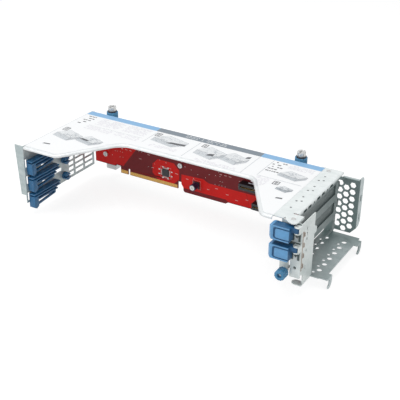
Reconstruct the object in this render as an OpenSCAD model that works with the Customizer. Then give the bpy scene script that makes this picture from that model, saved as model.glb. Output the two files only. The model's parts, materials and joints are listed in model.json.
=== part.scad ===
// Full-length three-slot riser cage of a rack server.
// Cage frame: x runs from the left end panel to the card brackets, y runs from the front
// of the top panel to its rear edge, and z = 0 is the top panel's upper face.

/* [Sheet metal] */
// Thickness of the folded sheets
sheet = 1.0; // [0.8:0.1:1.2]
// Radius of the rolled lip along the front of the top panel
lip_r = 2.0; // [1.5:0.25:3.5]
// Height of the rolled front lip
lip_h = 3.2; // [2.8:0.2:6]
// Radius of the rear bend
rear_bend_r = 2.0; // [1.5:0.25:3]

/* [Top panel] */
// Length of the top panel from the left end panel to the bare strip
top_len = 303; // [298:1:308]
// Depth of the top panel
depth = 126; // [122:1:132]
// Depth of the band behind the card bay
band_depth = 61.4; // [55:0.2:66]
// Width of the left arm's front edge
left_arm_w = 47; // [40:1:52]
// Length of the slanted edges across the cage
slant_w = 41; // [36:1:46]
// Width of the right arm's front edge, up to the bare strip
right_arm_w = 12.4; // [10:0.2:16]
// Rounding of the two outer corners of the U
outer_corner_r = 10; // [8:1:14]
// Rounding of the inner left corner of the U
inner_left_r = 26; // [18:1:32]
// Rounding of the inner right corner of the U
inner_right_r = 13; // [10:1:20]
// Height of the rear wall
rear_wall_h = 56; // [48:1:58]
// Distance of the rear wall's ends from the ends of the top panel
rear_wall_inset = 4; // [3:1:8]

/* [Label] */
// Thickness of the label film
label_t = 0.2; // [0.15:0.05:0.3]
// Bare metal left round the label
label_margin = 1.6; // [1:0.2:3]

/* [Left end panel] */
// Height of the end panel
end_panel_h = 69; // [66:1:72]
// Width of the front flange at its top
end_flange_top_w = 10.8; // [8:0.2:12]
// Width of the front flange at its bottom
end_flange_bottom_w = 6.8; // [5:0.2:8]
// Height of the front flange
end_flange_h = 59.7; // [54:0.1:64]
// Width of the flange that is riveted under the top panel
end_tab_w = 9; // [8:0.5:12]
// Length of a vent slot in the grid
grid_slot_l = 15.6; // [12:0.2:16.5]
// Height of a vent slot in the grid
grid_slot_h = 4.4; // [3:0.1:5]
// Distance from one row of the grid to the next
grid_row_pitch = 6.6; // [6:0.1:7]
// Distance from one column of the grid to the next
grid_col_pitch = 18.4; // [17.8:0.2:19]

/* [Card slots] */
// Distance from one card to the next
slot_pitch = 20.32; // [20.32:0.01:20.32]
// Depth of the upper card's plane below the top
slot_first = 20.3; // [20:0.1:21]
// Length of a bracket opening
slot_opening_l = 89.9; // [86:0.1:92]
// Height of a bracket opening
slot_opening_h = 12.06; // [11.5:0.02:12.4]
// Distance of the bracket openings from the ledge
slot_opening_start = 12; // [9:0.5:15]
// Height of the opening's middle above the card's plane
slot_opening_lift = 8.8; // [8.4:0.1:9.2]
// Width of a slot cover
cover_w = 18.4; // [17.6:0.1:18.8]
// Length of a slot cover's wide part
cover_l = 108; // [104:1:110]
// Length of a slot cover's tongue
cover_tongue_l = 8; // [6:0.5:9]
// Thickness of a slot cover
cover_t = 0.9; // [0.8:0.05:1]
// Clearance between a slot cover and the wall
cover_gap = 0.05; // [0.02:0.01:0.1]
// Length of a slot cover's bent tab
cover_tab_l = 10.6; // [9.6:0.1:10.6]

/* [Right end] */
// Width of the bare strip on top
strip_w = 20.5; // [19:0.5:22]
// Distance of the strip's front edge behind the front of the cage
strip_front = 3.5; // [3:0.5:5]
// Width of the strip's front tab beyond the bracket wall
strip_tab_w = 6; // [5:0.5:8]
// Overhang of the strip's front tab before the front of the cage
strip_tab_over = 2.8; // [2:0.2:3.4]
// Length of the strip's front tab
strip_tab_l = 18; // [16:1:22]
// Distance of the bracket ledge behind the front of the cage
ledge_y = 4; // [3:0.5:6]
// Height of the bracket ledge
ledge_h = 61; // [60:0.5:63]
// Distance of the ledge's left edge from the bracket wall
ledge_back = 11.5; // [9:0.5:14]
// Distance of the outer wall from the bracket wall
outer_gap = 10; // [9.5:0.5:12]
// Length of the outer wall
outer_wall_l = 29; // [26:1:32]
// Distance of the outer wall's lower edge behind the ledge
outer_wall_set = 8; // [6:0.5:10]
// Height of the bracket wall
bracket_wall_h = 60.5; // [60:0.5:61]
// Width of the end of the cage beyond the bracket wall
tunnel_w = 23.9; // [22:0.1:26]
// Depth of the floor's upper face below the top
floor_drop = 71.4; // [70.4:0.2:73]
// Distance of the floor's front edge behind the front of the cage
floor_front = 31; // [29:0.5:32]
// Width of the floor behind the bracket wall
floor_back_w = 16; // [14:1:20]
// Drop of the two hooks below the floor
hook_drop = 11.6; // [9:0.2:13]
// Length of a hook where it leaves the floor
hook_l = 12; // [10:0.5:14]
// Reach of the hooks beyond the floor
hook_out = 4; // [3.4:0.2:5]
// Distance between neighbouring hexagonal holes
hex_pitch = 8.0; // [7.6:0.1:8.4]
// Width of a hexagonal hole across its corners
hex_w = 6.8; // [6:0.1:7]
// Depth of the vent plate's bent rim
rim_w = 10; // [8:0.5:12]

/* [Latches] */
// Height of a latch
latch_h = 14.8; // [13:0.2:16]
// Length of a latch from its free end to its pivot
latch_l = 27; // [24:0.2:28]
// Thickness of a latch
latch_t = 10.8; // [9:0.2:11]
// Distance of the latch pivot before the front face of the ledge
latch_axis_y = 5; // [4.6:0.1:5.4]
// Distance of the latch pivot from the outer wall
latch_axis_x = 3.8; // [3.7:0.1:4.2]
// Diameter of the latch pin
latch_pin_d = 2.0; // [1.6:0.1:2.2]
// Height of the latch's arm at the pivot
latch_arm_h = 5.2; // [4.6:0.2:6]

/* [Captive screws] */
// Thread diameter of the two rear captive screws
captive_d = 4.0; // [3.5:0.5:4]
// Diameter of the rear screws' knobs
captive_knob_d = 13.6; // [12.5:0.2:14.5]
// Height of the rear screws' knobs
captive_knob_h = 10; // [9.5:0.5:12]
// Diameter of the rear screws' steel heads
captive_head_d = 9.6; // [8.6:0.2:10.4]
// Height of the rear screws' steel heads
captive_head_h = 5.2; // [4:0.2:6]
// How far a rear captive screw can be pressed down
captive_travel = 4.5; // [4:0.1:4.8]
// Length of thread below the screw ledge at rest
captive_tip = 6; // [5:0.5:9]
// Depth of the screw ledges below the top
captive_ledge_drop = 14; // [13.8:0.1:15]
// Distance of the rear screws' axes behind the rear wall
captive_out = 8.5; // [8:0.1:9.5]
// Distance of the left captive screw from the left end
captive_left_x = 23.5; // [21:0.5:27]
// Distance of the right captive screw from the left end
captive_right_x = 271; // [264:0.5:276]
// Thread diameter of the front captive screw
front_d = 3.0; // [2.6:0.1:3]
// Diameter of the front screw's knob
front_knob_d = 11; // [10.4:0.2:12]
// Length of the front screw's knob
front_knob_l = 9.5; // [9:0.1:11]
// How far the front captive screw can be pressed in
front_travel = 3.5; // [3:0.1:3.8]
// Depth of the front screw's axis below the top
front_screw_drop = 55.4; // [55:0.1:56]
// Distance of the front screw from the ledge's left edge
front_screw_in = 6.4; // [6:0.1:6.6]
// Running clearance of a screw in its ferrule
screw_gap = 0.1; // [0.08:0.01:0.1]

/* [Card guides] */
// Length of a card guide
guide_l = 46; // [44:1:56]
// Reach of a card guide from the end panel
guide_w = 8; // [7:0.5:11]
// Height of a card guide's front block
guide_block_h = 18; // [16:0.5:19]
// Width of the groove for the card's edge
guide_groove = 1.9; // [1.8:0.1:2.2]
// Wall above and below the groove
guide_wall = 1.5; // [1.2:0.1:1.8]
// Distance of the guides' front end behind the front of the cage
guide_start = 3.2; // [3:0.2:4]
// Diameter of a rear guide button
button_d = 9; // [8:0.5:10]
// Length of a rear guide button
button_l = 6; // [5:0.5:8]
// Distance of the buttons from the front of the cage
button_y = 66; // [66:1:69]

/* [Riser board] */
// Thickness of the board
board_t = 1.6; // [1.4:0.1:1.6]
// Gap between the board and the rear wall
board_gap = 2.4; // [2:0.1:3]
// Distance of the board's left edge from the left end
board_left = 6; // [5.4:0.2:8]
// Distance of the board's right edge from the left end
board_right = 299; // [294:1:301]
// Depth of the board's upper edge below the top
board_top = 5; // [4:0.5:7]
// Depth of the board's lower edge at its left end
board_left_drop = 62; // [61:0.5:63]
// Depth of the board's lower edge at its right part
board_right_drop = 69.6; // [69:0.2:70.4]
// Depth of the lower edge of the edge connector
edge_drop = 69.2; // [68.6:0.2:70]
// Height of the gold contacts
contact_h = 4.6; // [4:0.2:6]
// Distance of the edge connector from the left end
edge_start = 43.2; // [42:0.2:45]
// Length of the edge connector
edge_l = 81.2; // [80.2:1:83.2]
// Pitch of the contacts
contact_pitch = 1.0; // [1:0.1:1]
// Reach of the slot connectors from the board
connector_t = 9.5; // [8:0.5:11.25]
// Height of the slot connectors
connector_h = 7.5; // [7:0.1:8]

/* [Hidden] */
$fn = 48;

// Planes of the cage
wall_x = top_len + strip_w;
outer_x = wall_x + outer_gap;
end_x = wall_x + tunnel_w;
band_y = depth - band_depth;
ledge_x = wall_x - ledge_back;
front_wall_rear = ledge_y + outer_wall_l;
slot_z = [for (i = [0:2]) -(slot_first + i * slot_pitch)];
contact = 0.02;

// Captive screws
ferrule_wall = 2.3;
front_ferrule_wall = 1.1;
press_gap = 0.5;
ferrule_gap = 0.4;
ring_t = 1.5;
screw_ledge_r = captive_knob_d / 2 + 0.7;
captive_y = depth + captive_out;
captive_knob_z = -captive_ledge_drop + captive_travel + press_gap;
captive_head_z = captive_knob_z + captive_knob_h + ring_t;
front_x = ledge_x + front_screw_in;
front_knob_y = ledge_y - front_travel - press_gap - front_knob_l;

// Outermost planes and the shift that puts the origin under the middle of the cage
x_low = -end_flange_top_w;
x_high = end_x + hook_out;
y_low = front_knob_y;
y_high = captive_y + screw_ledge_r;
z_low = -(floor_drop + sheet + hook_drop);

module placed() translate([-(x_low + x_high) / 2, -(y_low + y_high) / 2, -z_low]) children();

// ---- Helpers ----

// Box from its lowest to its highest corner
module slab(a, b) translate(a) cube(b - a);

// Plate in the XZ plane from y0 to y1, drawn in x and z
module plate_xz(y0, y1) translate([0, y1, 0]) rotate([90, 0, 0]) linear_extrude(y1 - y0) children();

// Plate in the YZ plane from x0 to x1, drawn in y and z
module plate_yz(x0, x1) translate([x0, 0, 0]) rotate([90, 0, 90]) linear_extrude(x1 - x0) children();

// Rectangle from one corner to the other
module rect(a, b) translate(a) square(b - a);

// Rectangle with four rounded corners
module round_rect(a, b, r) {
    rect([a.x + r, a.y], [b.x - r, b.y]);
    rect([a.x, a.y + r], [b.x, b.y - r]);
    for (x = [a.x + r, b.x - r], y = [a.y + r, b.y - r]) translate([x, y]) circle(r);
}

// Slot with round ends, centred, its length along the first axis
module stadium(l, w) {
    square([l - w, w], center = true);
    for (s = [-1, 1]) translate([s * (l - w) / 2, 0]) circle(w / 2);
}

// Cylinder along y, from y0 to y1
module rod_y(x, z, r, y0, y1) translate([x, y1, z]) rotate([90, 0, 0]) cylinder(r = r, h = y1 - y0);

// Cylinder along x, from x0 to x1
module rod_x(y, z, r, x0, x1) translate([x0, y, z]) rotate([0, 90, 0]) cylinder(r = r, h = x1 - x0);

// ---- Front edge of the top panel: straight runs joined by arcs ----

lip_start = sheet + 0.5;
rim = [[lip_start, 0], [left_arm_w, 0], [left_arm_w + slant_w, band_y],
    [top_len - right_arm_w - slant_w, band_y], [top_len - right_arm_w, 0], [top_len, 0]];
rim_r = [0, outer_corner_r, inner_left_r, inner_right_r, outer_corner_r, 0];
arc_steps = 8;
bend_steps = 5;
lip_flat = 1;

function unit(v) = v / norm(v);
function dir_in(i) = unit(rim[i] - rim[i - 1]);
function dir_out(i) = unit(rim[i + 1] - rim[i]);
function side(i) = sign(cross(dir_in(i), dir_out(i)));
function bend(i) = acos(dir_in(i) * dir_out(i));
function run_off(i) = rim_r[i] * tan(bend(i) / 2);
function arc_start(i) = rim[i] - dir_in(i) * run_off(i);
function arc_centre(i) = arc_start(i) + side(i) * rim_r[i] * [-dir_in(i).y, dir_in(i).x];
function arc_angle(i) = let (v = arc_start(i) - arc_centre(i)) atan2(v.y, v.x);
function arc_points(i, inset) = [for (k = [0:arc_steps])
    let (a = arc_angle(i) + side(i) * bend(i) * k / arc_steps)
    arc_centre(i) + (rim_r[i] - side(i) * inset) * [cos(a), sin(a)]];

function round_outline(inset) = concat([rim[0] + [0, inset]],
    [for (i = [1:len(rim) - 2]) each arc_points(i, inset)], [rim[len(rim) - 1] + [0, inset]]);

// Section of a bent edge: a quarter ring and a straight leg
module bent_section(r, leg) {
    intersection() {
        translate([r, -r]) difference() {
            circle(r);
            circle(r - sheet);
        }
        translate([0, -r]) square([r, r]);
    }
    translate([0, -leg]) square([sheet, leg - r]);
}

// Section of the lip as points [inset, z]: its outer skin from the flat over the bend to the foot
// of the leg, and its inner skin point by point under it
lip_angles = [for (i = [0:bend_steps]) 90 - 90 * i / bend_steps];
lip_skin = concat([[lip_r + lip_flat, 0]],
    [for (a = lip_angles) lip_r * [1 - cos(a), sin(a) - 1]], [[0, -lip_h]]);
lip_under = concat([[lip_r + lip_flat, -sheet]],
    [for (a = lip_angles) [lip_r - (lip_r - sheet) * cos(a), (lip_r - sheet) * sin(a) - lip_r]],
    [[sheet, -lip_h]]);

// The lip swept along the rim as one closed skin of triangles
module front_lip() {
    n = len(lip_skin);
    section = concat(lip_skin, [for (k = [n - 1:-1:0]) lip_under[k]]);
    rings = [for (q = section) round_outline(q.x)];
    m = len(rings[0]);
    points = [for (k = [0:2 * n - 1]) each [for (q = rings[k]) [q.x, q.y, section[k].y]]];
    sides = [for (k = [0:2 * n - 1], j = [0:m - 2]) let (a = k * m + j, b = ((k + 1) % (2 * n)) * m + j)
        each [[a, a + 1, b], [a + 1, b + 1, b]]];
    caps = [for (k = [0:n - 2]) let (a = k * m, b = a + m, c = (2 * n - 2 - k) * m, d = c + m)
        each [[a, b, d], [b, c, d], [b + m - 1, a + m - 1, d + m - 1], [c + m - 1, b + m - 1, d + m - 1]]];
    polyhedron(points, concat(sides, caps));
}

// ---- Top panel ----

corner_relief = 5;
leg_w = 13.5;
leg_shift = 2.2;
leg_drop = 69;
foot_l = 14;
foot_hole_d = 5.8;
panel_rivet_y = [26, depth / 2 + 5, depth - 14];
tongue_w = 10;
tongue_rivet_y = [34, depth / 2 + 7, depth - 20];
rivet_r = 1.5;
wall_l = top_len - 2 * rear_wall_inset;
captive_xs = [captive_left_x, captive_right_x];

module top_plate() {
    difference() {
        translate([0, 0, -sheet]) linear_extrude(sheet) polygon(concat(round_outline(lip_r + lip_flat / 2),
            [[top_len, depth - rear_bend_r], [0, depth - rear_bend_r], [0, corner_relief],
                [lip_start, corner_relief]]));
        for (y = panel_rivet_y) translate([end_tab_w / 2, y, -2 * sheet]) cylinder(r = rivet_r, h = 3 * sheet);
        for (y = tongue_rivet_y)
            translate([top_len - tongue_w / 2, y, -2 * sheet]) cylinder(r = rivet_r, h = 3 * sheet);
    }
    for (x = [0, top_len - rear_wall_inset])
        slab([x, depth - rear_bend_r, -sheet], [x + rear_wall_inset, depth, 0]);
}

module screw_ledge(x) {
    difference() {
        translate([x, 0, -captive_ledge_drop - sheet]) linear_extrude(sheet) {
            rect([-screw_ledge_r, depth - sheet], [screw_ledge_r, captive_y]);
            translate([0, captive_y]) circle(screw_ledge_r);
        }
        translate([x, captive_y, -captive_ledge_drop - 2 * sheet])
            cylinder(r = captive_d / 2 + ferrule_wall - 0.7, h = 3 * sheet);
    }
}

module leg(x) {
    slab([x - leg_w / 2, depth - sheet, -leg_drop], [x + leg_w / 2, depth, -rear_wall_h]);
    difference() {
        slab([x - leg_w / 2, depth - sheet, -leg_drop - sheet], [x + leg_w / 2, depth + foot_l, -leg_drop]);
        translate([x - leg_shift, captive_y, -leg_drop - 2 * sheet]) cylinder(d = foot_hole_d, h = 3 * sheet);
    }
}

module top_panel() color("gainsboro") placed() {
    top_plate();
    front_lip();
    difference() {
        translate([rear_wall_inset, depth, 0]) mirror([0, 1, 0]) rotate([90, 0, 90])
            linear_extrude(wall_l) bent_section(rear_bend_r, rear_wall_h);
        for (x = captive_xs) slab(
            [x - screw_ledge_r, depth - 2 * sheet, -captive_ledge_drop - sheet - captive_out - screw_ledge_r],
            [x + screw_ledge_r, depth + sheet, -captive_ledge_drop - sheet]);
    }
    for (x = captive_xs) {
        screw_ledge(x);
        leg(x + leg_shift);
    }
}

// ---- Label ----

label_inset = lip_r + label_margin;

module top_label() color("white") placed() linear_extrude(label_t) polygon(concat(
    round_outline(label_inset), [[top_len, depth - rear_bend_r], [label_margin, depth - rear_bend_r],
        [label_margin, corner_relief + label_margin], [lip_start + label_margin, corner_relief + label_margin]]));

// ---- Left end panel ----

grid_rows = 9;
grid_first = 9;
grid_y = [for (k = [1:2]) button_y + 2.8 + k * grid_col_pitch];
side_slot_y = 75;
side_slot_l = grid_y[0] - side_slot_y - (grid_col_pitch - grid_slot_l);
button_stem_r = 2;

module end_panel_windows() {
    for (k = [0:grid_rows - 1]) {
        z = -grid_first - k * grid_row_pitch;
        for (y = grid_y) rect([y, z - grid_slot_h], [y + grid_slot_l, z]);
        rect([side_slot_y, z - grid_slot_h], [side_slot_y + side_slot_l, z]);
    }
    for (z = slot_z) {
        rect([1.4, z - 6], [4.4, z + 4]);
        rect([27, z - 14.6], [32, z - 10.6]);
        rect([48, z + 7.6], [61.5, z + 12]);
        translate([button_y, z]) circle(button_stem_r);
    }
}

module left_end_panel() color("gainsboro") placed() {
    difference() {
        plate_yz(0, sheet) {
            difference() {
                union() {
                    rect([corner_relief, -end_panel_h], [depth - rear_bend_r, -sheet]);
                    rect([0, -end_panel_h], [corner_relief, 0]);
                }
                end_panel_windows();
            }
        }
    }
    plate_xz(0, sheet) polygon([[sheet, 0], [-end_flange_top_w, 0],
        [-end_flange_bottom_w, -end_flange_h], [sheet, -end_flange_h]]);
    difference() {
        slab([0, corner_relief, -2 * sheet], [end_tab_w, depth - rear_bend_r - sheet, -sheet]);
        for (y = panel_rivet_y) translate([end_tab_w / 2, y, -3 * sheet]) cylinder(r = rivet_r, h = 3 * sheet);
    }
}

module end_panel_rivets() color("silver") placed()
    for (y = panel_rivet_y) translate([end_tab_w / 2, y, 0]) {
        translate([0, 0, -2 * sheet]) cylinder(r = rivet_r, h = 2 * sheet);
        translate([0, 0, -3 * sheet]) cylinder(r = rivet_r + 1, h = sheet);
    }

// ---- Card guides ----

guide_block_l = 6.8;
guide_top = guide_groove / 2 + guide_wall;
guide_back_t = 1.5;
guide_back_h = 8;
loop_t = 1.3;
loop_l = 39;
loop_rise = 3;

module card_guide(z) color("steelblue") placed() difference() {
    x1 = sheet + guide_w;
    block_z = z + guide_top - guide_block_h;
    y1 = guide_start + guide_block_l;
    union() {
        slab([sheet, guide_start, z - guide_back_h], [sheet + guide_back_t, guide_start + guide_l, z + guide_top]);
        for (s = [0, 1]) mirror([0, 0, s]) translate([0, 0, (s == 0 ? z : -z) + guide_groove / 2])
            slab([sheet, guide_start, 0], [x1, guide_start + guide_l, guide_wall]);
        slab([sheet, y1, z - guide_back_h], [x1 - 3, guide_start + guide_l - 2, z - guide_back_h + guide_wall]);
        plate_yz(sheet, x1) polygon([[guide_start, z + guide_top], [y1, z + guide_top],
            [y1, block_z + 2], [guide_start + 3, block_z], [guide_start, block_z + 1.5]]);
        plate_yz(sheet + 2, x1 - 3) difference() {
            polygon([[y1 - 1, block_z + 1], [guide_start + loop_l, block_z + 1 + loop_rise],
                [guide_start + loop_l + 1, block_z + 2 + loop_rise], [guide_start + loop_l + 1, z - guide_back_h + 1],
                [y1 - 1, z - guide_back_h + 1]]);
            polygon([[y1 + loop_t, block_z + 1 + 1.4 * loop_t],
                [guide_start + loop_l - loop_t, block_z + 1 + loop_rise + 1.2 * loop_t],
                [guide_start + loop_l - loop_t, z - guide_back_h - loop_t / 4], [y1 + loop_t, z - guide_back_h - loop_t / 4]]);
        }
    }
    slab([sheet + guide_back_t, 0, z - guide_groove / 2], [x1 + 1, y1 + 1, z + guide_groove / 2]);
}

module card_guide_upper() card_guide(slot_z[0]);
module card_guide_middle() card_guide(slot_z[1]);
module card_guide_lower() card_guide(slot_z[2]);

module guide_button(z) color("steelblue") placed() {
    difference() {
        rod_x(button_y, z, button_d / 2, sheet, sheet + button_l);
        slab([sheet + 2, button_y - button_d, z - guide_groove / 2],
            [sheet + button_l + 1, button_y + button_d, z + guide_groove / 2]);
    }
    rod_x(button_y, z, button_stem_r, -0.8, sheet);
}

module guide_button_upper() guide_button(slot_z[0]);
module guide_button_middle() guide_button(slot_z[1]);
module guide_button_lower() guide_button(slot_z[2]);

// ---- Bracket wall with the bare strip ----

wall_bend_r = 1.6;
wall_rear = depth - 14;
wall_front = ledge_y + sheet + 0.3;
strip_slit = 2.2;
strip_tab_y = strip_tab_l - strip_tab_over;
dimple_r = 1.2;
dimple_t = 0.35;
dimple_in = [14.2, 9.7];
dimple_pitch = 26.5;
dimple_first = 40.8;
bend_slot_l = 7.4;
bend_slot_h = 2.8;
bend_slots = [30.7, 41, 62, 73, 93.5];
bend_holes = [51.5, 83];
rivet_front = [wall_x - 0.8, ledge_y + 1.6];
rivet_rear = [top_len + 6, depth - 6.5];

module strip_outline() {
    polygon([[top_len, strip_front], [wall_x - 10, strip_front - 0.4], [wall_x - 8.7, strip_front + 2.2],
        [wall_x - 7.2, strip_front - 1.6], [wall_x - 3, strip_front - 4.6], [wall_x + 1, -strip_tab_over],
        [wall_x + 3.8, -strip_tab_over + 0.6], [wall_x + 5.2, -strip_tab_over + 2],
        [wall_x + strip_tab_w, -strip_tab_over + 4.5], [wall_x + strip_tab_w, strip_tab_y],
        [wall_x - 5.5, strip_tab_y], [wall_x - 5.5, strip_tab_y + strip_slit],
        [wall_x - wall_bend_r, strip_tab_y + strip_slit], [wall_x - wall_bend_r, depth], [top_len, depth]]);
}

module strip_dimples() {
    for (k = [0:2]) {
        y = dimple_first + k * dimple_pitch;
        translate([wall_x - dimple_in[0], y, -dimple_t]) cylinder(r = dimple_r, h = 1);
        translate([wall_x - dimple_in[1], y + 2, -dimple_t]) cylinder(r = dimple_r, h = 1);
        translate([wall_x - dimple_in[0] + 2, y + 11.4, -dimple_t / 2]) cylinder(r = dimple_r, h = 1);
    }
    translate([wall_x - dimple_in[0] + 1.2, dimple_first - 15, -dimple_t]) cylinder(r = dimple_r, h = 1);
}

module bracket_wall() color("gainsboro") placed() {
    difference() {
        union() {
            translate([0, 0, -sheet]) linear_extrude(sheet) strip_outline();
            slab([top_len - tongue_w, 12, -2 * sheet], [top_len + 2, depth - rear_bend_r - sheet, -sheet]);
        }
        strip_dimples();
        for (y = tongue_rivet_y)
            translate([top_len - tongue_w / 2, y, -3 * sheet]) cylinder(r = rivet_r, h = 3 * sheet);
        for (p = [rivet_front, rivet_rear]) translate([p.x, p.y, -2 * sheet]) cylinder(r = rivet_r, h = 3 * sheet);
    }
    difference() {
        union() {
            translate([wall_x, strip_tab_y + strip_slit, 0]) mirror([1, 0, 0]) rotate([90, 0, 0])
                mirror([0, 0, 1]) linear_extrude(wall_rear - strip_tab_y - strip_slit)
                    bent_section(wall_bend_r, bracket_wall_h);
            translate([wall_x, wall_rear, 0]) mirror([1, 0, 0]) rotate([90, 0, 0])
                mirror([0, 0, 1]) linear_extrude(depth - wall_rear) bent_section(wall_bend_r, wall_bend_r + 0.4);
            plate_yz(wall_x - sheet, wall_x)
                rect([wall_front, -bracket_wall_h], [strip_tab_y + strip_slit, -2 * sheet - 0.3]);
        }
        for (z = slot_z) slab(
            [wall_x - 2 * sheet, ledge_y + slot_opening_start, z + slot_opening_lift - slot_opening_h / 2],
            [wall_x + sheet, ledge_y + slot_opening_start + slot_opening_l,
                z + slot_opening_lift + slot_opening_h / 2]);
        for (y = bend_slots) slab([wall_x - 2 * sheet, y - bend_slot_l / 2, -sheet - bend_slot_h],
            [wall_x + sheet, y + bend_slot_l / 2, -sheet]);
        for (y = bend_holes) rod_x(y, -sheet - bend_slot_h / 2, 1.2, wall_x - 2 * sheet, wall_x + sheet);
    }
}

// ---- Slot covers ----

cover_x = wall_x - sheet - cover_gap - cover_t;
notch_r = 2.2;
notch_x = cover_x + 6.4;
notch_lift = 3.6;
tongue_half = 5.1;

module slot_cover(z) color("whitesmoke") placed() {
    mid = z + slot_opening_lift;
    low = mid - cover_w / 2;
    y1 = ledge_y + cover_l;
    plate_yz(cover_x, cover_x + cover_t) {
        rect([ledge_y - cover_t, low], [y1 - cover_w / 4, low + cover_w]);
        polygon([[y1 - cover_w / 4, low], [y1, mid - tongue_half], [y1, mid + tongue_half],
            [y1 - cover_w / 4, low + cover_w]]);
        rect([y1 - contact, mid - tongue_half], [y1 + cover_tongue_l - tongue_half, mid + tongue_half]);
        translate([y1 + cover_tongue_l - tongue_half, mid]) circle(tongue_half);
    }
    plate_xz(ledge_y - cover_t, ledge_y) difference() {
        rect([cover_x, low], [cover_x + cover_tab_l, low + cover_w]);
        translate([notch_x, z + notch_lift]) circle(notch_r);
        rect([notch_x - notch_r, low - 1], [notch_x + notch_r, z + notch_lift]);
    }
}

module slot_cover_upper() slot_cover(slot_z[0]);
module slot_cover_middle() slot_cover(slot_z[1]);

// ---- Front wall: ledge, latch ears, outer wall, foot ----

ledge_top = 2 * sheet;
pass_gap = 0.3;
screw_hole_r = 1.6;
third_hole_drop = 50.4;
outer_slot_y = 15.5;
outer_slots = [[11, 3.4], [16.5, 3.2], [22.4, 3], [35, 3.4], [53.5, 4]];
outer_low_top = 57;
lug_z = [-25.4, -18];
foot_reach = 11.5;
foot_len = 8.5;
ear_t = 1.0;
ear_gap = 0.2;
ear_set = 1.2;
latch_barrel_r = 2.4;
latch_x = outer_x - latch_axis_x;
latch_y = ledge_y - latch_axis_y;
latch_mid = [slot_z[0] + slot_opening_lift, slot_z[1] + slot_opening_lift];
ear_back = ledge_y - cover_t - 0.3;

function arm_top(z) = z + latch_h / 2;
function arm_low(z) = arm_top(z) - latch_arm_h;

module latch_ear(z) difference() {
    translate([0, 0, z]) linear_extrude(ear_t) {
        translate([latch_x, latch_y]) circle(latch_barrel_r);
        rect([latch_x, latch_y - latch_barrel_r], [outer_x - sheet + contact, ear_back]);
        rect([latch_x - latch_barrel_r, latch_y], [latch_x, ear_back]);
    }
    translate([latch_x, latch_y, z - 1]) cylinder(d = latch_pin_d, h = ear_t + 2);
}

module outer_outline() {
    rect([ledge_y, -outer_low_top], [front_wall_rear, -ledge_top]);
    polygon([[ledge_y + outer_wall_set, -floor_drop - sheet], [floor_front - 0.4, -floor_drop - sheet],
        [floor_front - 0.4, -floor_drop], [front_wall_rear, -floor_drop], [front_wall_rear, -outer_low_top],
        [ledge_y, -outer_low_top], [ledge_y + outer_wall_set, -outer_low_top - 4]]);
    round_rect([front_wall_rear - 3, lug_z[0]], [front_wall_rear + 5, lug_z[1]], 2);
    for (z = latch_mid) rect([latch_y - latch_barrel_r + ear_set, arm_low(z) - ear_gap - ear_t],
        [ledge_y, arm_top(z) + ear_gap + ear_t]);
}

module front_wall() color("gainsboro") placed() {
    plate_xz(ledge_y, ledge_y + sheet) difference() {
        rect([ledge_x, -ledge_h], [outer_x - contact, -ledge_top]);
        for (z = slot_z) rect([cover_x - pass_gap, z + slot_opening_lift - cover_w / 2 - pass_gap],
            [cover_x + cover_t + pass_gap, min(-ledge_top - sheet, z + slot_opening_lift + cover_w / 2 + pass_gap)]);
        for (z = [slot_z[0] + notch_lift, slot_z[1] + notch_lift, -third_hole_drop])
            translate([notch_x, z]) circle(screw_hole_r);
        translate([front_x, -front_screw_drop]) circle(front_d / 2 + screw_gap + 0.6);
    }
    plate_yz(outer_x - sheet, outer_x) difference() {
        outer_outline();
        for (s = outer_slots) rect([outer_slot_y - 1, -s[0] - s[1] / 2], [outer_slot_y + 1, -s[0] + s[1] / 2]);
    }
    difference() {
        slab([cover_x - 3, ledge_y, -2 * sheet], [outer_x - 3.5, strip_tab_y - 1, -sheet]);
        translate([rivet_front.x, rivet_front.y, -3 * sheet]) cylinder(r = rivet_r, h = 3 * sheet);
    }
    translate([0, 0, -floor_drop - sheet]) linear_extrude(sheet) {
        rect([outer_x - foot_reach + foot_len / 2, ledge_y + outer_wall_set - 3],
            [outer_x - contact, ledge_y + outer_wall_set - 3 + foot_len]);
        translate([outer_x - foot_reach + foot_len / 2, ledge_y + outer_wall_set - 3 + foot_len / 2])
            circle(foot_len / 2);
    }
    for (z = latch_mid) {
        latch_ear(arm_top(z) + ear_gap);
        latch_ear(arm_low(z) - ear_gap - ear_t);
    }
}

// ---- Contact finger strip ----

finger_t = 0.3;
finger_bulge = 0.9;
finger_pitch = 11.4;
finger_first = 14.6;
finger_y = [ledge_y + 1.4, ledge_y + 5.4];

module contact_finger_strip() color("tan") placed() {
    plate_yz(outer_x, outer_x + finger_t)
        rect([finger_y[0], -finger_first - 3.4 * finger_pitch], [finger_y[0] + 1.6, -finger_first + 4]);
    for (k = [0:3]) {
        z = -finger_first - k * finger_pitch;
        slab([outer_x, finger_y[0] + 1.5, z - 2.6], [outer_x + finger_t, finger_y[1], z - 1.4]);
        slab([outer_x, finger_y[0] + 1.5, z + 1.4], [outer_x + finger_t, finger_y[1], z + 2.6]);
        slab([outer_x, finger_y[1] - 1, z - 2], [outer_x + finger_bulge, finger_y[1], z + 2]);
    }
}

// ---- Vent shroud: hexagon plate, rim, floor, hooks ----

hex_right = end_x - 5;
hex_top = 5.5;
hex_bottom = 67.7;
hex_first_x = wall_x - 2.5;
hex_first_z = 12.1;
hex_rows = 7;
shroud_left = top_len + 2.5;
carry_w = 8;
vent_pitch = 12.8;
vent_first = 45.6;
vent_r = 2.7;
small_vent_r = 1.7;
vent_back = [10.6, 30.8];
rim_slot_z = [-28, -49.5];
hook_t = 1.2;

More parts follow.
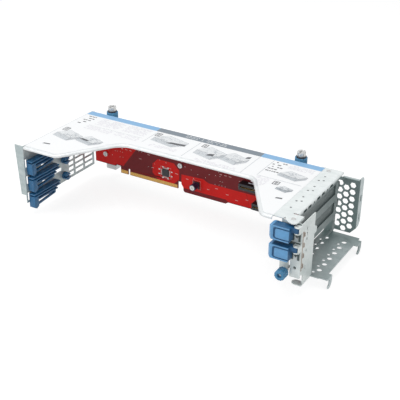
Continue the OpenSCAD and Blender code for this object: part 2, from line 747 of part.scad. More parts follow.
module hook_outline(y1) {
    polygon([[y1 - hook_l, -floor_drop], [y1, -floor_drop], [y1, -floor_drop - 0.55 * hook_drop],
        [y1 - 1.2, -floor_drop - 0.8 * hook_drop], [y1 - 3.6, z_low + 0.6], [y1 - 5.6, z_low],
        [y1 - 8, z_low], [y1 - 9.2, z_low + 1], [y1 - 8.6, z_low + 3], [y1 - 6.4, z_low + 4.6],
        [y1 - 6, -floor_drop - sheet - 2.6], [y1 - 7.6, -floor_drop - sheet - 0.8], [y1 - hook_l, -floor_drop - sheet]]);
}

screw_pass_r = 2.3;

module shroud_back() difference() {
    plate_xz(depth - sheet, depth) difference() {
        polygon([[shroud_left, -sheet], [shroud_left + carry_w, -sheet], [shroud_left + carry_w, -hex_top],
            [hex_right, -hex_top], [hex_right, -hex_bottom + 7], [hex_right - 6, -hex_bottom],
            [wall_x - 6, -hex_bottom], [wall_x - 6, -floor_drop], [shroud_left, -floor_drop]]);
        for (k = [0:2], j = [0:hex_rows - 1]) translate([hex_first_x + k * hex_pitch * cos(30),
            -hex_first_z - j * hex_pitch - (k == 1 ? hex_pitch / 2 : 0)]) circle(d = hex_w, $fn = 6);
        translate([front_x, -front_screw_drop]) circle(screw_pass_r);
    }
}

module shroud_rim() plate_yz(hex_right - sheet, hex_right) difference() {
    polygon([[depth - sheet, -hex_top + 1.5], [depth + rim_w - 3, -hex_top + 1.5], [depth + rim_w, -hex_top - 1.5],
        [depth + rim_w, -hex_bottom + 12], [depth + rim_w - 4, -hex_bottom + 7], [depth - sheet, -hex_bottom + 7]]);
    for (z = rim_slot_z) translate([depth + rim_w / 2, z]) rotate(90) stadium(9, 3);
}

module shroud_floor() translate([0, 0, -floor_drop - sheet]) linear_extrude(sheet) difference() {
    union() {
        rect([wall_x - floor_back_w, floor_front + 3], [end_x, depth]);
        rect([outer_x - sheet, floor_front], [end_x - 5, floor_front + 4]);
        for (y = [floor_front + 13, depth - 4.5]) rect([end_x - 6, y - hook_l], [x_high, y]);
    }
    for (k = [0:5], back = vent_back) translate([end_x - back, vent_first + k * vent_pitch]) circle(vent_r);
    for (k = [0:5], back = vent_back)
        translate([end_x - back - 3.9, vent_first - 6 + k * vent_pitch]) circle(small_vent_r);
}

module vent_shroud() color("lightgray") placed() {
    shroud_back();
    shroud_rim();
    shroud_floor();
    slab([wall_x - 1, depth - sheet, -hex_top - sheet], [hex_right - sheet, depth + 3, -hex_top]);
    for (y = [floor_front + 13, depth - 4.5]) plate_yz(x_high - hook_t, x_high) hook_outline(y);
    difference() {
        slab([shroud_left, depth - 12, -2 * sheet], [shroud_left + carry_w, depth, -sheet]);
        translate([rivet_rear.x, rivet_rear.y, -3 * sheet]) cylinder(r = rivet_r, h = 3 * sheet);
    }
}

module shroud_rivets() color("silver") placed() {
    for (p = [rivet_front, rivet_rear]) translate([p.x, p.y, 0]) {
        translate([0, 0, -2 * sheet]) cylinder(r = rivet_r, h = 2 * sheet);
        cylinder(r = rivet_r + 0.8, h = 0.5);
    }
    for (y = tongue_rivet_y) translate([top_len - tongue_w / 2, y, 0]) {
        translate([0, 0, -2 * sheet]) cylinder(r = rivet_r, h = 2 * sheet);
        translate([0, 0, -3 * sheet]) cylinder(r = rivet_r + 1, h = sheet);
    }
}

// ---- Latches ----

latch_back = ledge_y - cover_t - 0.3;
latch_front = latch_back - latch_t;
latch_free_x = latch_x - latch_l;
latch_pad_x = latch_x - 4.6;
latch_corner_r = 5;
pad_in = 6.2;
pad_margin = 1.2;
groove_w = 1.5;
groove_t = 0.9;
catch_x = [ledge_x - 3.2, ledge_x - 0.5];

module latch_face(z) {
    lower = z - latch_h / 2;
    upper = z + latch_h / 2;
    rect([latch_free_x + latch_corner_r, lower], [latch_pad_x, upper]);
    rect([latch_free_x, lower + latch_corner_r], [latch_pad_x, upper - latch_corner_r]);
    for (s = [lower + latch_corner_r, upper - latch_corner_r])
        translate([latch_free_x + latch_corner_r, s]) circle(latch_corner_r);
}

module latch_plan() polygon([[latch_free_x, latch_back], [latch_free_x, latch_front + 5.5],
    [latch_free_x + 1.4, latch_front + 2.6], [latch_free_x + 4.2, latch_front], [latch_pad_x, latch_front],
    [latch_pad_x, latch_back]]);

module pad_groove(z) plate_xz(latch_front - 1, latch_front + groove_t) difference() {
    round_rect([latch_free_x + pad_in, z - latch_h / 2 + pad_margin],
        [latch_pad_x + 4, z + latch_h / 2 - pad_margin], 2.6);
    round_rect([latch_free_x + pad_in + 1.5 * groove_w, z - latch_h / 2 + pad_margin + groove_w],
        [latch_pad_x + 5, z + latch_h / 2 - pad_margin - groove_w], 1.8);
}

module latch(z) color("steelblue") placed() difference() {
    union() {
        difference() {
            intersection() {
                plate_xz(latch_front, latch_back) latch_face(z);
                translate([0, 0, z - latch_h / 2]) linear_extrude(latch_h) latch_plan();
            }
            pad_groove(z);
        }
        slab([latch_pad_x - contact, latch_y - latch_barrel_r, arm_low(z)],
            [latch_x, latch_y + latch_barrel_r, arm_top(z)]);
        translate([latch_x, latch_y, arm_low(z)]) cylinder(r = latch_barrel_r, h = latch_arm_h);
        slab([catch_x[0], latch_back - contact, z - 4], [catch_x[1], ledge_y + 1.4, z + 4]);
    }
    translate([latch_x, latch_y, arm_low(z) - 1]) cylinder(d = latch_pin_d + 0.1, h = latch_arm_h + 2);
}

module latch_upper() latch(latch_mid[0]);
module latch_lower() latch(latch_mid[1]);

module latch_pin(z) color("silver") placed() {
    translate([latch_x, latch_y, arm_low(z) - ear_gap - ear_t])
        cylinder(d = latch_pin_d, h = latch_arm_h + 2 * ear_gap + 2 * ear_t);
    translate([latch_x, latch_y, arm_top(z) + ear_gap + ear_t]) cylinder(d = latch_pin_d + 1, h = 0.5);
}

module latch_pin_upper() latch_pin(latch_mid[0]);
module latch_pin_lower() latch_pin(latch_mid[1]);

// ---- Rear captive screws ----

captive_thread_d = 3.5;
knob_flutes = 16;
ferrule_top = -captive_ledge_drop + captive_travel + press_gap + 2.8;

module at_captive(x) translate([x, captive_y, 0]) children();

module captive_ferrule(x) color("silver") placed() at_captive(x) difference() {
    union() {
        translate([0, 0, -captive_ledge_drop])
            cylinder(r = captive_d / 2 + ferrule_wall, h = ferrule_top + captive_ledge_drop);
        translate([0, 0, -captive_ledge_drop - sheet])
            cylinder(r = captive_d / 2 + ferrule_wall - 0.7, h = sheet + contact);
    }
    translate([0, 0, -captive_ledge_drop - 2 * sheet])
        cylinder(r = captive_d / 2 + screw_gap, h = ferrule_top + captive_ledge_drop + 3 * sheet);
}

module captive_screw(x) color("silver") placed() at_captive(x) {
    translate([0, 0, -captive_ledge_drop - sheet])
        cylinder(d = captive_d, h = captive_head_z + captive_ledge_drop + sheet + contact);
    translate([0, 0, -captive_ledge_drop - sheet - captive_tip])
        cylinder(d = captive_thread_d, h = captive_tip + contact);
    difference() {
        translate([0, 0, captive_head_z]) cylinder(d = captive_head_d, h = captive_head_h);
        translate([0, 0, captive_head_z + captive_head_h - 2.4]) cylinder(r = 2.2, h = 3, $fn = 6);
        for (a = [0, 90]) rotate([0, 0, a]) translate([-captive_head_d, -0.7, captive_head_z + captive_head_h - 1.3])
            cube([2 * captive_head_d, 1.4, 2]);
    }
}

module captive_knob(x) color("steelblue") placed() at_captive(x) difference() {
    translate([0, 0, captive_knob_z]) cylinder(d = captive_knob_d, h = captive_knob_h);
    translate([0, 0, captive_knob_z - 1]) cylinder(r = captive_d / 2 + ferrule_wall + ferrule_gap,
        h = ferrule_top - captive_knob_z + captive_travel + press_gap + 1);
    translate([0, 0, captive_knob_z]) cylinder(d = captive_d, h = captive_knob_h + 1);
    for (k = [0:knob_flutes - 1]) rotate([0, 0, k * 360 / knob_flutes])
        translate([captive_knob_d / 2 + 0.3, 0, captive_knob_z - 1]) cylinder(r = 0.8, h = captive_knob_h + 2, $fn = 16);
}

module captive_ring(x) color("dimgray") placed() at_captive(x)
    translate([0, 0, captive_knob_z + captive_knob_h]) difference() {
        translate([0, 0, contact]) cylinder(r = captive_head_d / 2 + 0.7, h = ring_t - 2 * contact);
        cylinder(r = captive_d / 2 + screw_gap, h = ring_t);
    }

module captive_ferrule_left() captive_ferrule(captive_left_x);
module captive_screw_left() captive_screw(captive_left_x);
module captive_knob_left() captive_knob(captive_left_x);
module captive_ring_left() captive_ring(captive_left_x);
module captive_ferrule_right() captive_ferrule(captive_right_x);
module captive_screw_right() captive_screw(captive_right_x);
module captive_knob_right() captive_knob(captive_right_x);
module captive_ring_right() captive_ring(captive_right_x);

// ---- Front captive screw ----

front_ferrule_y = ledge_y - front_travel - press_gap + 0.5;
front_tip = 5;
front_thread_d = 2.5;
socket_l = 2.6;

module front_ferrule() color("silver") placed() difference() {
    union() {
        rod_y(front_x, -front_screw_drop, front_d / 2 + front_ferrule_wall, front_ferrule_y, ledge_y);
        rod_y(front_x, -front_screw_drop, front_d / 2 + screw_gap + 0.6, ledge_y - contact, ledge_y + sheet);
    }
    rod_y(front_x, -front_screw_drop, front_d / 2 + screw_gap, front_ferrule_y - 1, ledge_y + 2 * sheet);
}

module front_screw() color("silver") placed() {
    shoulder_y = ledge_y + sheet + ring_t;
    rod_y(front_x, -front_screw_drop, front_d / 2, front_knob_y + socket_l, shoulder_y);
    rod_y(front_x, -front_screw_drop, front_thread_d / 2, shoulder_y - contact, shoulder_y + front_tip);
}

module front_knob() color("steelblue") placed() difference() {
    union() {
        rod_y(front_x, -front_screw_drop, front_knob_d / 2, front_knob_y + 0.8, front_knob_y + front_knob_l);
        rod_y(front_x, -front_screw_drop, front_knob_d / 2 - 0.8, front_knob_y, front_knob_y + 1);
    }
    rod_y(front_x, -front_screw_drop, front_d / 2, front_knob_y - 1, front_knob_y + front_knob_l + 1);
    translate([front_x, front_knob_y + socket_l, -front_screw_drop]) rotate([90, 0, 0])
        cylinder(r = 2.7, h = socket_l + 1, $fn = 6);
    rod_y(front_x, -front_screw_drop, front_d / 2 + front_ferrule_wall + ferrule_gap,
        front_knob_y + front_knob_l - front_travel - press_gap, front_knob_y + front_knob_l + 1);
    for (k = [0:11]) translate([front_x, 0, -front_screw_drop]) rotate([0, k * 30, 0])
        rod_y(front_knob_d / 2 + 0.25, 0, 0.7, front_knob_y - 1, front_knob_y + front_knob_l + 1);
}

module front_ring() color("dimgray") placed() difference() {
    rod_y(front_x, -front_screw_drop, front_d / 2 + 1.3, ledge_y + sheet + contact, ledge_y + sheet + ring_t - 0.5);
    rod_y(front_x, -front_screw_drop, front_d / 2 + screw_gap / 2, ledge_y, ledge_y + sheet + ring_t + 1);
}

// ---- Riser board ----

board_back = depth - sheet - board_gap;
board_front = board_back - board_t;
edge_end = edge_start + edge_l;
key_x = edge_start + 10.6;
key_w = 2.8;
key_top = 61.5;
notch_top = 59.8;
board_mid_drop = board_right_drop + 2.2;
board_step_x = 188;
notch_right = edge_end + 7.4;
notch_left = edge_start - 7.2;
board_screw_r = 1.5;
standoff_r = 3;
connector_right = wall_x - 59;
board_holes = [[22, -49], [128, -38.7], [60, -11], [connector_right - 68.5, -11],
    [connector_right + 23.5, -20], [connector_right + 23.5, -49]];

module board_outline() polygon([[board_left, -board_top], [board_right, -board_top],
    [board_right, -board_right_drop], [board_step_x + 3.2, -board_right_drop], [board_step_x, -board_mid_drop],
    [notch_right + 2.4, -board_mid_drop], [notch_right + 0.7, -board_mid_drop + 0.7],
    [notch_right, -board_mid_drop + 2.4], [notch_right, -notch_top], [edge_end, -notch_top],
    [edge_end, -edge_drop], [key_x + key_w, -edge_drop], [key_x + key_w, -key_top], [key_x, -key_top],
    [key_x, -edge_drop], [edge_start, -edge_drop], [edge_start, -notch_top - 0.4],
    [notch_left, -notch_top - 0.4], [notch_left, -board_left_drop], [board_left, -board_left_drop]]);

module riser_board() color("firebrick") placed() plate_xz(board_front, board_back) difference() {
    board_outline();
    for (p = board_holes) translate(p) circle(board_screw_r + 0.2);
}

contact_t = 0.1;
contact_w = 0.7;

module edge_contacts() color("goldenrod") placed()
    for (x = [edge_start + contact_pitch : contact_pitch : edge_end - contact_pitch])
        if (x < key_x - contact_w / 2 || x > key_x + key_w + contact_w / 2)
            for (y = [board_front - contact_t, board_back])
                slab([x - contact_w / 2, y, -edge_drop + 0.4], [x + contact_w / 2, y + contact_t, -edge_drop + contact_h]);

module slot_connector(z, l) color("#1c1c1c") placed() difference() {
    slab([connector_right - l, board_front - connector_t, z - connector_h / 2],
        [connector_right, board_front, z + connector_h / 2]);
    difference() {
        slab([connector_right - l + 1.8, board_front - connector_t - 1, z - guide_groove / 2],
            [connector_right - 1.8, board_front - 2, z + guide_groove / 2]);
        slab([connector_right - 14.4, board_front - connector_t, z - 2], [connector_right - 12.6, board_front, z + 2]);
    }
}

module slot_connector_upper() slot_connector(slot_z[0], 56);
module slot_connector_middle() slot_connector(slot_z[1], 56);
module slot_connector_lower() slot_connector(slot_z[2], 39);

chip = [107.6, -53.1];
chip_w = 9;
chip_t = 1.4;
lead_l = 1.6;
lead_pitch = 1.3;

module main_chip() color("#262626") placed()
    slab([chip.x - chip_w / 2, board_front - chip_t, chip.y - chip_w / 2],
        [chip.x + chip_w / 2, board_front, chip.y + chip_w / 2]);

module board_components() color("silver") placed() {
    for (a = [0:90:270], k = [-2.5:1:2.5])
        translate([chip.x, board_front, chip.y]) rotate([0, a, 0])
            slab([chip_w / 2, -0.5, k * lead_pitch - 0.3], [chip_w / 2 + lead_l, 0, k * lead_pitch + 0.3]);
    for (k = [0:7]) let (a = k * 45 + 22)
        translate([chip.x + 9.2 * cos(a), board_front, chip.y + 7.4 * sin(a)]) slab([-1, -0.7, -0.6], [1, 0, 0.6]);
}

cap = [149.6, -58];
cap_d = 8;
cap_l = 9;
cap_base_t = 1.2;

module capacitor_base() color("#202020") placed()
    slab([cap.x - cap_d / 2 - 0.2, board_front - cap_base_t, cap.y - cap_d / 2 - 0.2],
        [cap.x + cap_d / 2 + 0.2, board_front, cap.y + cap_d / 2 + 0.2]);

module capacitor_can() color("#2b2440") placed() {
    rod_y(cap.x, cap.y, cap_d / 2, board_front - cap_base_t - cap_l, board_front - cap_base_t);
}

module board_screws() color("silver") placed() for (p = board_holes) {
    rod_y(p[0], p[1], board_screw_r, board_front - 1, depth - sheet);
    difference() {
        rod_y(p[0], p[1], 3, board_front - 2, board_front);
        slab([p[0] - 2, board_front - 2.5, p[1] - 0.4], [p[0] + 2, board_front - 1.2, p[1] + 0.4]);
        slab([p[0] - 0.4, board_front - 2.5, p[1] - 2], [p[0] + 0.4, board_front - 1.2, p[1] + 2]);
    }
}

module board_standoffs() color("silver") placed() for (p = board_holes) difference() {
    rod_y(p[0], p[1], standoff_r, board_back, depth - sheet);
    rod_y(p[0], p[1], board_screw_r, board_back - 1, depth);
}

top_panel();
top_label();
left_end_panel();
end_panel_rivets();
card_guide_upper();
card_guide_middle();
card_guide_lower();
guide_button_upper();
guide_button_middle();
guide_button_lower();
bracket_wall();
slot_cover_upper();
slot_cover_middle();
front_wall();
contact_finger_strip();
vent_shroud();
shroud_rivets();
latch_upper();
latch_lower();
latch_pin_upper();
latch_pin_lower();
captive_ferrule_left();
captive_screw_left();
captive_knob_left();
captive_ring_left();
captive_ferrule_right();
captive_screw_right();
captive_knob_right();
captive_ring_right();
front_ferrule();
front_screw();
front_knob();
front_ring();
riser_board();
edge_contacts();
slot_connector_upper();
slot_connector_middle();
slot_connector_lower();
main_chip();
board_components();
capacitor_can();
capacitor_base();
board_screws();
board_standoffs();
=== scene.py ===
# Looks of the three-slot riser cage: zinc-coated sheets, printed label, red board and blue plastic.
import json
import math
import random

import bmesh
import bpy
from mathutils import Matrix, Vector

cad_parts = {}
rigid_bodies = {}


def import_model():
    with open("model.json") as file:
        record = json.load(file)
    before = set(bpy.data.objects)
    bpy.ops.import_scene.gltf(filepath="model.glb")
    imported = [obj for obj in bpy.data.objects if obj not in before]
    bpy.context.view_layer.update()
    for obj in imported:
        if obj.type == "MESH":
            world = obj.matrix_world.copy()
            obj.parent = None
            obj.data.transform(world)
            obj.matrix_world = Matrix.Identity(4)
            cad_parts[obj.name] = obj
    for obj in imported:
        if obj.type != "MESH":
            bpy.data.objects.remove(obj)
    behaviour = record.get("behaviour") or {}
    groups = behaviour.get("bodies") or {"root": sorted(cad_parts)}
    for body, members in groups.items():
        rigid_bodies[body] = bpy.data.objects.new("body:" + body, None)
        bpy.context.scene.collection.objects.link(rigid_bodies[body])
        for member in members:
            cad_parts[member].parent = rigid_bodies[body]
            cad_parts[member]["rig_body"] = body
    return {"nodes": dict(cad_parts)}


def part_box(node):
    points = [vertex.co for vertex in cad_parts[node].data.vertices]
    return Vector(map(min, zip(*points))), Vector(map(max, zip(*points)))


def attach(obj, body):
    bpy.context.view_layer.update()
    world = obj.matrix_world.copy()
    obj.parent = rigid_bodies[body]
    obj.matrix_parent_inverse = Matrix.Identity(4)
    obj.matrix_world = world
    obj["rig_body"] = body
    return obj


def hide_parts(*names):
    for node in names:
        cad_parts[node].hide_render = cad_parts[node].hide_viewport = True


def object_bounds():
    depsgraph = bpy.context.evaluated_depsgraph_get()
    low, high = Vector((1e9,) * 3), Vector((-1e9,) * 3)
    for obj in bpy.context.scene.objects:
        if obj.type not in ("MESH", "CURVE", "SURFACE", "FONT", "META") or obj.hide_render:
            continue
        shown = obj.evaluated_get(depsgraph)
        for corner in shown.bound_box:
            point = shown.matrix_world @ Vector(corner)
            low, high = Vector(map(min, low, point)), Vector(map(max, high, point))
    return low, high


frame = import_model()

MM = 0.001
CAD_LOW, CAD_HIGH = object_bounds()
NODES = frame["nodes"]

# The cage's own frame, in millimetres: x from the left end panel, y from the front edge of the top
# panel, z up from the top panel's upper face.
LEFT_LOW, LEFT_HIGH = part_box("left_end_panel")
ORIGIN = Vector((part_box("top_panel")[0].x, LEFT_LOW.y, LEFT_HIGH.z))


def at(x, y, z):
    """A point of the cage in the frame's metres."""
    return ORIGIN + Vector((x, y, z)) * MM


def cage(point):
    """A point of the frame in the cage's millimetres."""
    return (point - ORIGIN) / MM


def cage_box(node):
    """Lowest and highest corner of a CAD node in the cage's millimetres."""
    low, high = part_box(node)
    return cage(low), cage(high)


# ---- Sizes taken from the CAD nodes ----

LABEL_LOW, LABEL_HIGH = cage_box("top_label")
BOARD_LOW, BOARD_HIGH = cage_box("riser_board")
CHIP_LOW, CHIP_HIGH = cage_box("main_chip")
CAN_LOW, CAN_HIGH = cage_box("capacitor_can")
REAR_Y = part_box("bracket_wall")[1].y
LATCH_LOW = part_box("latch_upper")[0]
SHROUD_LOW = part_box("vent_shroud")[0]
CONTACT_LOW, CONTACT_HIGH = cage_box("edge_contacts")
INK = 0.03
INK_LIFT = 0.005

# ---- Shader node groups ----


def shader_group(name, inputs, outputs):
    """An empty shader group with named sockets; returns the tree and its two end nodes."""
    tree = bpy.data.node_groups.new(name, "ShaderNodeTree")
    kinds = {"value": "NodeSocketFloat", "colour": "NodeSocketColor", "vector": "NodeSocketVector"}
    for label, kind, value in inputs:
        socket = tree.interface.new_socket(name=label, in_out="INPUT", socket_type=kinds[kind])
        if value is not None:
            socket.default_value = value
    for label, kind in outputs:
        tree.interface.new_socket(name=label, in_out="OUTPUT", socket_type=kinds[kind])
    return tree, tree.nodes.new("NodeGroupInput"), tree.nodes.new("NodeGroupOutput")


def noise(tree, vector, scale, detail=3.0, roughness=0.55):
    """Noise texture on a vector; returns its value output."""
    node = tree.nodes.new("ShaderNodeTexNoise")
    node.inputs["Scale"].default_value = scale
    node.inputs["Detail"].default_value = detail
    node.inputs["Roughness"].default_value = roughness
    tree.links.new(vector, node.inputs["Vector"])
    return node.outputs["Fac"]


def stretched(tree, scale):
    """Object coordinates scaled by axis, so that a pattern runs along one of them."""
    place = tree.nodes.new("ShaderNodeTexCoord")
    mapping = tree.nodes.new("ShaderNodeMapping")
    mapping.inputs["Scale"].default_value = scale
    tree.links.new(place.outputs["Object"], mapping.inputs["Vector"])
    return mapping.outputs["Vector"]


def remap(tree, value, low, high, to_low=0.0, to_high=1.0):
    """A value moved from one range to another, clamped."""
    node = tree.nodes.new("ShaderNodeMapRange")
    for label, number in (("From Min", low), ("From Max", high), ("To Min", to_low), ("To Max", to_high)):
        node.inputs[label].default_value = number
    tree.links.new(value, node.inputs["Value"])
    return node.outputs["Result"]


def maths(tree, operation, a, b):
    """One Math node; each of a and b is an output or a number."""
    node = tree.nodes.new("ShaderNodeMath")
    node.operation = operation
    for k, x in enumerate((a, b)):
        if isinstance(x, (int, float)):
            node.inputs[k].default_value = x
        else:
            tree.links.new(x, node.inputs[k])
    return node.outputs[0]


def mixed(tree, factor, a, b):
    """Colour a turning to colour b with the factor; each is an output or a colour."""
    node = tree.nodes.new("ShaderNodeMix")
    node.data_type = "RGBA"
    colours = [s for s in node.inputs if s.type == "RGBA"]
    for socket, x in zip(colours, (a, b)):
        if isinstance(x, (tuple, list)):
            socket.default_value = (*x[:3], 1)
        else:
            tree.links.new(x, socket)
    tree.links.new(factor, node.inputs[0])
    return [s for s in node.outputs if s.type == "RGBA"][0]


def zinc_group():
    """Rolled sheet with a zinc coat: spangle, faint streaks along the sheet, dull patches."""
    tree, start, end = shader_group(
        "zinc_coat",
        [("Light", "colour", (0.6, 0.66, 0.67, 1)), ("Dark", "colour", (0.42, 0.48, 0.5, 1)),
         ("Spangle", "value", 170.0), ("Streaks", "value", 1.0)],
        [("Colour", "colour"), ("Roughness", "value"), ("Height", "value")])
    plain = stretched(tree, (1, 1, 1))
    crystals = tree.nodes.new("ShaderNodeTexVoronoi")
    tree.links.new(plain, crystals.inputs["Vector"])
    tree.links.new(start.outputs["Spangle"], crystals.inputs["Scale"])
    grey = tree.nodes.new("ShaderNodeRGBToBW")
    tree.links.new(crystals.outputs["Color"], grey.inputs["Color"])
    along = noise(tree, stretched(tree, (12, 260, 260)), 1.0, 4.0)
    patches = noise(tree, plain, 26.0, 3.0)
    flecks = maths(tree, "MULTIPLY", grey.outputs["Val"], 0.3)
    streaks = maths(tree, "MULTIPLY", maths(tree, "MULTIPLY", along, start.outputs["Streaks"]), 0.45)
    share = maths(tree, "ADD", maths(tree, "ADD", flecks, streaks), maths(tree, "MULTIPLY", patches, 0.35))
    colour = mixed(tree, remap(tree, share, 0.25, 0.85), start.outputs["Light"], start.outputs["Dark"])
    tree.links.new(colour, end.inputs["Colour"])
    tree.links.new(remap(tree, share, 0.2, 0.9, 0.3, 0.48), end.inputs["Roughness"])
    tree.links.new(share, end.inputs["Height"])
    return tree


def wear_group():
    """Where an edge is rubbed: a mask from a rounded normal, broken up, and the rounded normal."""
    tree, start, end = shader_group(
        "rubbed_edge", [("Radius", "value", 0.0004), ("Breakup", "value", 500.0)],
        [("Mask", "value"), ("Normal", "vector")])
    rounded = tree.nodes.new("ShaderNodeBevel")
    rounded.samples = 4
    tree.links.new(start.outputs["Radius"], rounded.inputs["Radius"])
    flat = tree.nodes.new("ShaderNodeNewGeometry")
    compare = tree.nodes.new("ShaderNodeVectorMath")
    compare.operation = "DOT_PRODUCT"
    tree.links.new(rounded.outputs["Normal"], compare.inputs[0])
    tree.links.new(flat.outputs["Normal"], compare.inputs[1])
    turned = remap(tree, compare.outputs["Value"], 0.97, 0.8)
    grain = tree.nodes.new("ShaderNodeTexNoise")
    tree.links.new(stretched(tree, (1, 1, 1)), grain.inputs["Vector"])
    tree.links.new(start.outputs["Breakup"], grain.inputs["Scale"])
    mask = maths(tree, "MULTIPLY", turned, remap(tree, grain.outputs["Fac"], 0.3, 0.65))
    tree.links.new(mask, end.inputs["Mask"])
    tree.links.new(rounded.outputs["Normal"], end.inputs["Normal"])
    return tree


def moulded_group():
    """Moulded plastic: fine spark-eroded grain, slight shade changes and a few scuffs."""
    tree, start, end = shader_group(
        "moulded_plastic", [("Tone", "colour", (0.1, 0.3, 0.5, 1)), ("Grain", "value", 2600.0)],
        [("Colour", "colour"), ("Roughness", "value"), ("Height", "value")])
    plain = stretched(tree, (1, 1, 1))
    grain = tree.nodes.new("ShaderNodeTexNoise")
    grain.inputs["Detail"].default_value = 2
    tree.links.new(plain, grain.inputs["Vector"])
    tree.links.new(start.outputs["Grain"], grain.inputs["Scale"])
    clouds = noise(tree, plain, 120.0, 3.0)
    scuffs = remap(tree, noise(tree, stretched(tree, (900, 120, 500)), 1.0, 5.0), 0.62, 0.72)
    shade = mixed(tree, remap(tree, clouds, 0.3, 0.7, 0.0, 0.22), start.outputs["Tone"], (0.02, 0.03, 0.05))
    colour = mixed(tree, maths(tree, "MULTIPLY", scuffs, 0.18), shade, (0.7, 0.75, 0.8))
    tree.links.new(colour, end.inputs["Colour"])
    tree.links.new(remap(tree, grain.outputs["Fac"], 0.2, 0.8, 0.38, 0.52), end.inputs["Roughness"])
    tree.links.new(grain.outputs["Fac"], end.inputs["Height"])
    return tree


def film_group():
    """Printed plastic film: a faint orange peel and a hint of handling marks."""
    tree, start, end = shader_group(
        "printed_film", [("Ink", "colour", (0.8, 0.82, 0.85, 1)), ("Mottle", "value", 0.06)],
        [("Colour", "colour"), ("Roughness", "value"), ("Height", "value")])
    plain = stretched(tree, (1, 1, 1))
    mottle = noise(tree, plain, 900.0, 3.0)
    broad = noise(tree, plain, 18.0, 2.0)
    share = maths(tree, "MULTIPLY", maths(tree, "ADD", mottle, broad), start.outputs["Mottle"])
    colour = mixed(tree, share, start.outputs["Ink"], (0.25, 0.29, 0.34))
    tree.links.new(colour, end.inputs["Colour"])
    tree.links.new(remap(tree, broad, 0.3, 0.7, 0.3, 0.4), end.inputs["Roughness"])
    tree.links.new(mottle, end.inputs["Height"])
    return tree


def laminate_group():
    """Solder mask over woven glass: the weave shows faintly in colour and height."""
    tree, start, end = shader_group(
        "masked_laminate", [("Mask", "colour", (0.5, 0.01, 0.01, 1)), ("Weave", "value", 900.0)],
        [("Colour", "colour"), ("Roughness", "value"), ("Height", "value")])
    threads = []
    for axis in ("X", "Z"):
        wave = tree.nodes.new("ShaderNodeTexWave")
        wave.bands_direction = axis
        wave.inputs["Distortion"].default_value = 0.6
        tree.links.new(stretched(tree, (1, 1, 1)), wave.inputs["Vector"])
        tree.links.new(start.outputs["Weave"], wave.inputs["Scale"])
        threads.append(wave.outputs["Fac"])
    weave = maths(tree, "MAXIMUM", *threads)
    clouds = noise(tree, stretched(tree, (1, 1, 1)), 60.0, 3.0)
    share = maths(tree, "ADD", maths(tree, "MULTIPLY", weave, 0.12), maths(tree, "MULTIPLY", clouds, 0.25))
    colour = mixed(tree, share, start.outputs["Mask"], (0.06, 0.012, 0.012))
    tree.links.new(colour, end.inputs["Colour"])
    tree.links.new(remap(tree, clouds, 0.3, 0.7, 0.4, 0.52), end.inputs["Roughness"])
    tree.links.new(weave, end.inputs["Height"])
    return tree


ZINC = zinc_group()
WEAR = wear_group()
MOULDED = moulded_group()
FILM = film_group()
LAMINATE = laminate_group()

# ---- Materials ----


def band(tree, axis, bounds):
    """0 to 1 between two places along an axis of the frame, in the order given."""
    parts = tree.nodes.new("ShaderNodeSeparateXYZ")
    tree.links.new(stretched(tree, (1, 1, 1)), parts.inputs["Vector"])
    return remap(tree, parts.outputs[axis], *bounds)


def finish(name, group, settings, bump, bump_distance, wear=None, worn=(0.8, 0.82, 0.83), dull=None,
           **shader):
    """A material from one surface group and, where wear is a radius, the rubbed edge group.

    dull is a colour of painted shade and the places where it takes over, each a list of bands as (axis,
    bounds)."""
    material = bpy.data.materials.new(name)
    material.use_nodes = True
    tree = material.node_tree
    principled = tree.nodes["Principled BSDF"]
    for label, number in shader.items():
        principled.inputs[label.replace("_", " ")].default_value = number
    surface = tree.nodes.new("ShaderNodeGroup")
    surface.node_tree = group
    for label, value in settings.items():
        surface.inputs[label].default_value = value
    relief = tree.nodes.new("ShaderNodeBump")
    relief.inputs["Strength"].default_value = bump
    relief.inputs["Distance"].default_value = bump_distance
    tree.links.new(surface.outputs["Height"], relief.inputs["Height"])
    colour = surface.outputs["Colour"]
    if wear:
        edge = tree.nodes.new("ShaderNodeGroup")
        edge.node_tree = WEAR
        edge.inputs["Radius"].default_value = wear
        colour = mixed(tree, maths(tree, "MULTIPLY", edge.outputs["Mask"], 0.5), colour, worn)
        tree.links.new(edge.outputs["Normal"], relief.inputs["Normal"])
    # Painted shade: the colour turns to a darker tone over the given bands.
    if dull:
        tone, *places = dull
        for bands in places:
            share = band(tree, *bands[0])
            for more in bands[1:]:
                share = maths(tree, "MULTIPLY", share, band(tree, *more))
            colour = mixed(tree, share, colour, tone)
    tree.links.new(colour, principled.inputs["Base Color"])
    tree.links.new(surface.outputs["Roughness"], principled.inputs["Roughness"])
    tree.links.new(relief.outputs["Normal"], principled.inputs["Normal"])
    return material


def sheet_metal(name, light, dark, spangle=170.0, streaks=1.0, metallic=0.7, wear=0.0004, dull=None):
    """Zinc-coated or turned metal between a light and a dark tone."""
    settings = {"Light": (*light, 1), "Dark": (*dark, 1), "Spangle": spangle, "Streaks": streaks}
    return finish(name, ZINC, settings, 0.12, 0.0002, wear, dull=dull, Metallic=metallic)


def plastic(name, tone, wear=0.0005, grain=2600.0, worn=(0.5, 0.62, 0.75), dull=None):
    """Moulded plastic in one tone, paler where its edges are rubbed."""
    return finish(name, MOULDED, {"Tone": (*tone, 1), "Grain": grain}, 0.25, 0.0001, wear, worn, dull)


def ink(name, tone, mottle=0.06):
    """Ink or film in one tone."""
    return finish(name, FILM, {"Ink": (*tone, 1), "Mottle": mottle}, 0.05, 0.0001)


def solder_mask(name, tone):
    """The board's coating in one tone."""
    return finish(name, LAMINATE, {"Mask": (*tone, 1)}, 0.15, 0.0001, Specular_IOR_Level=0.25)


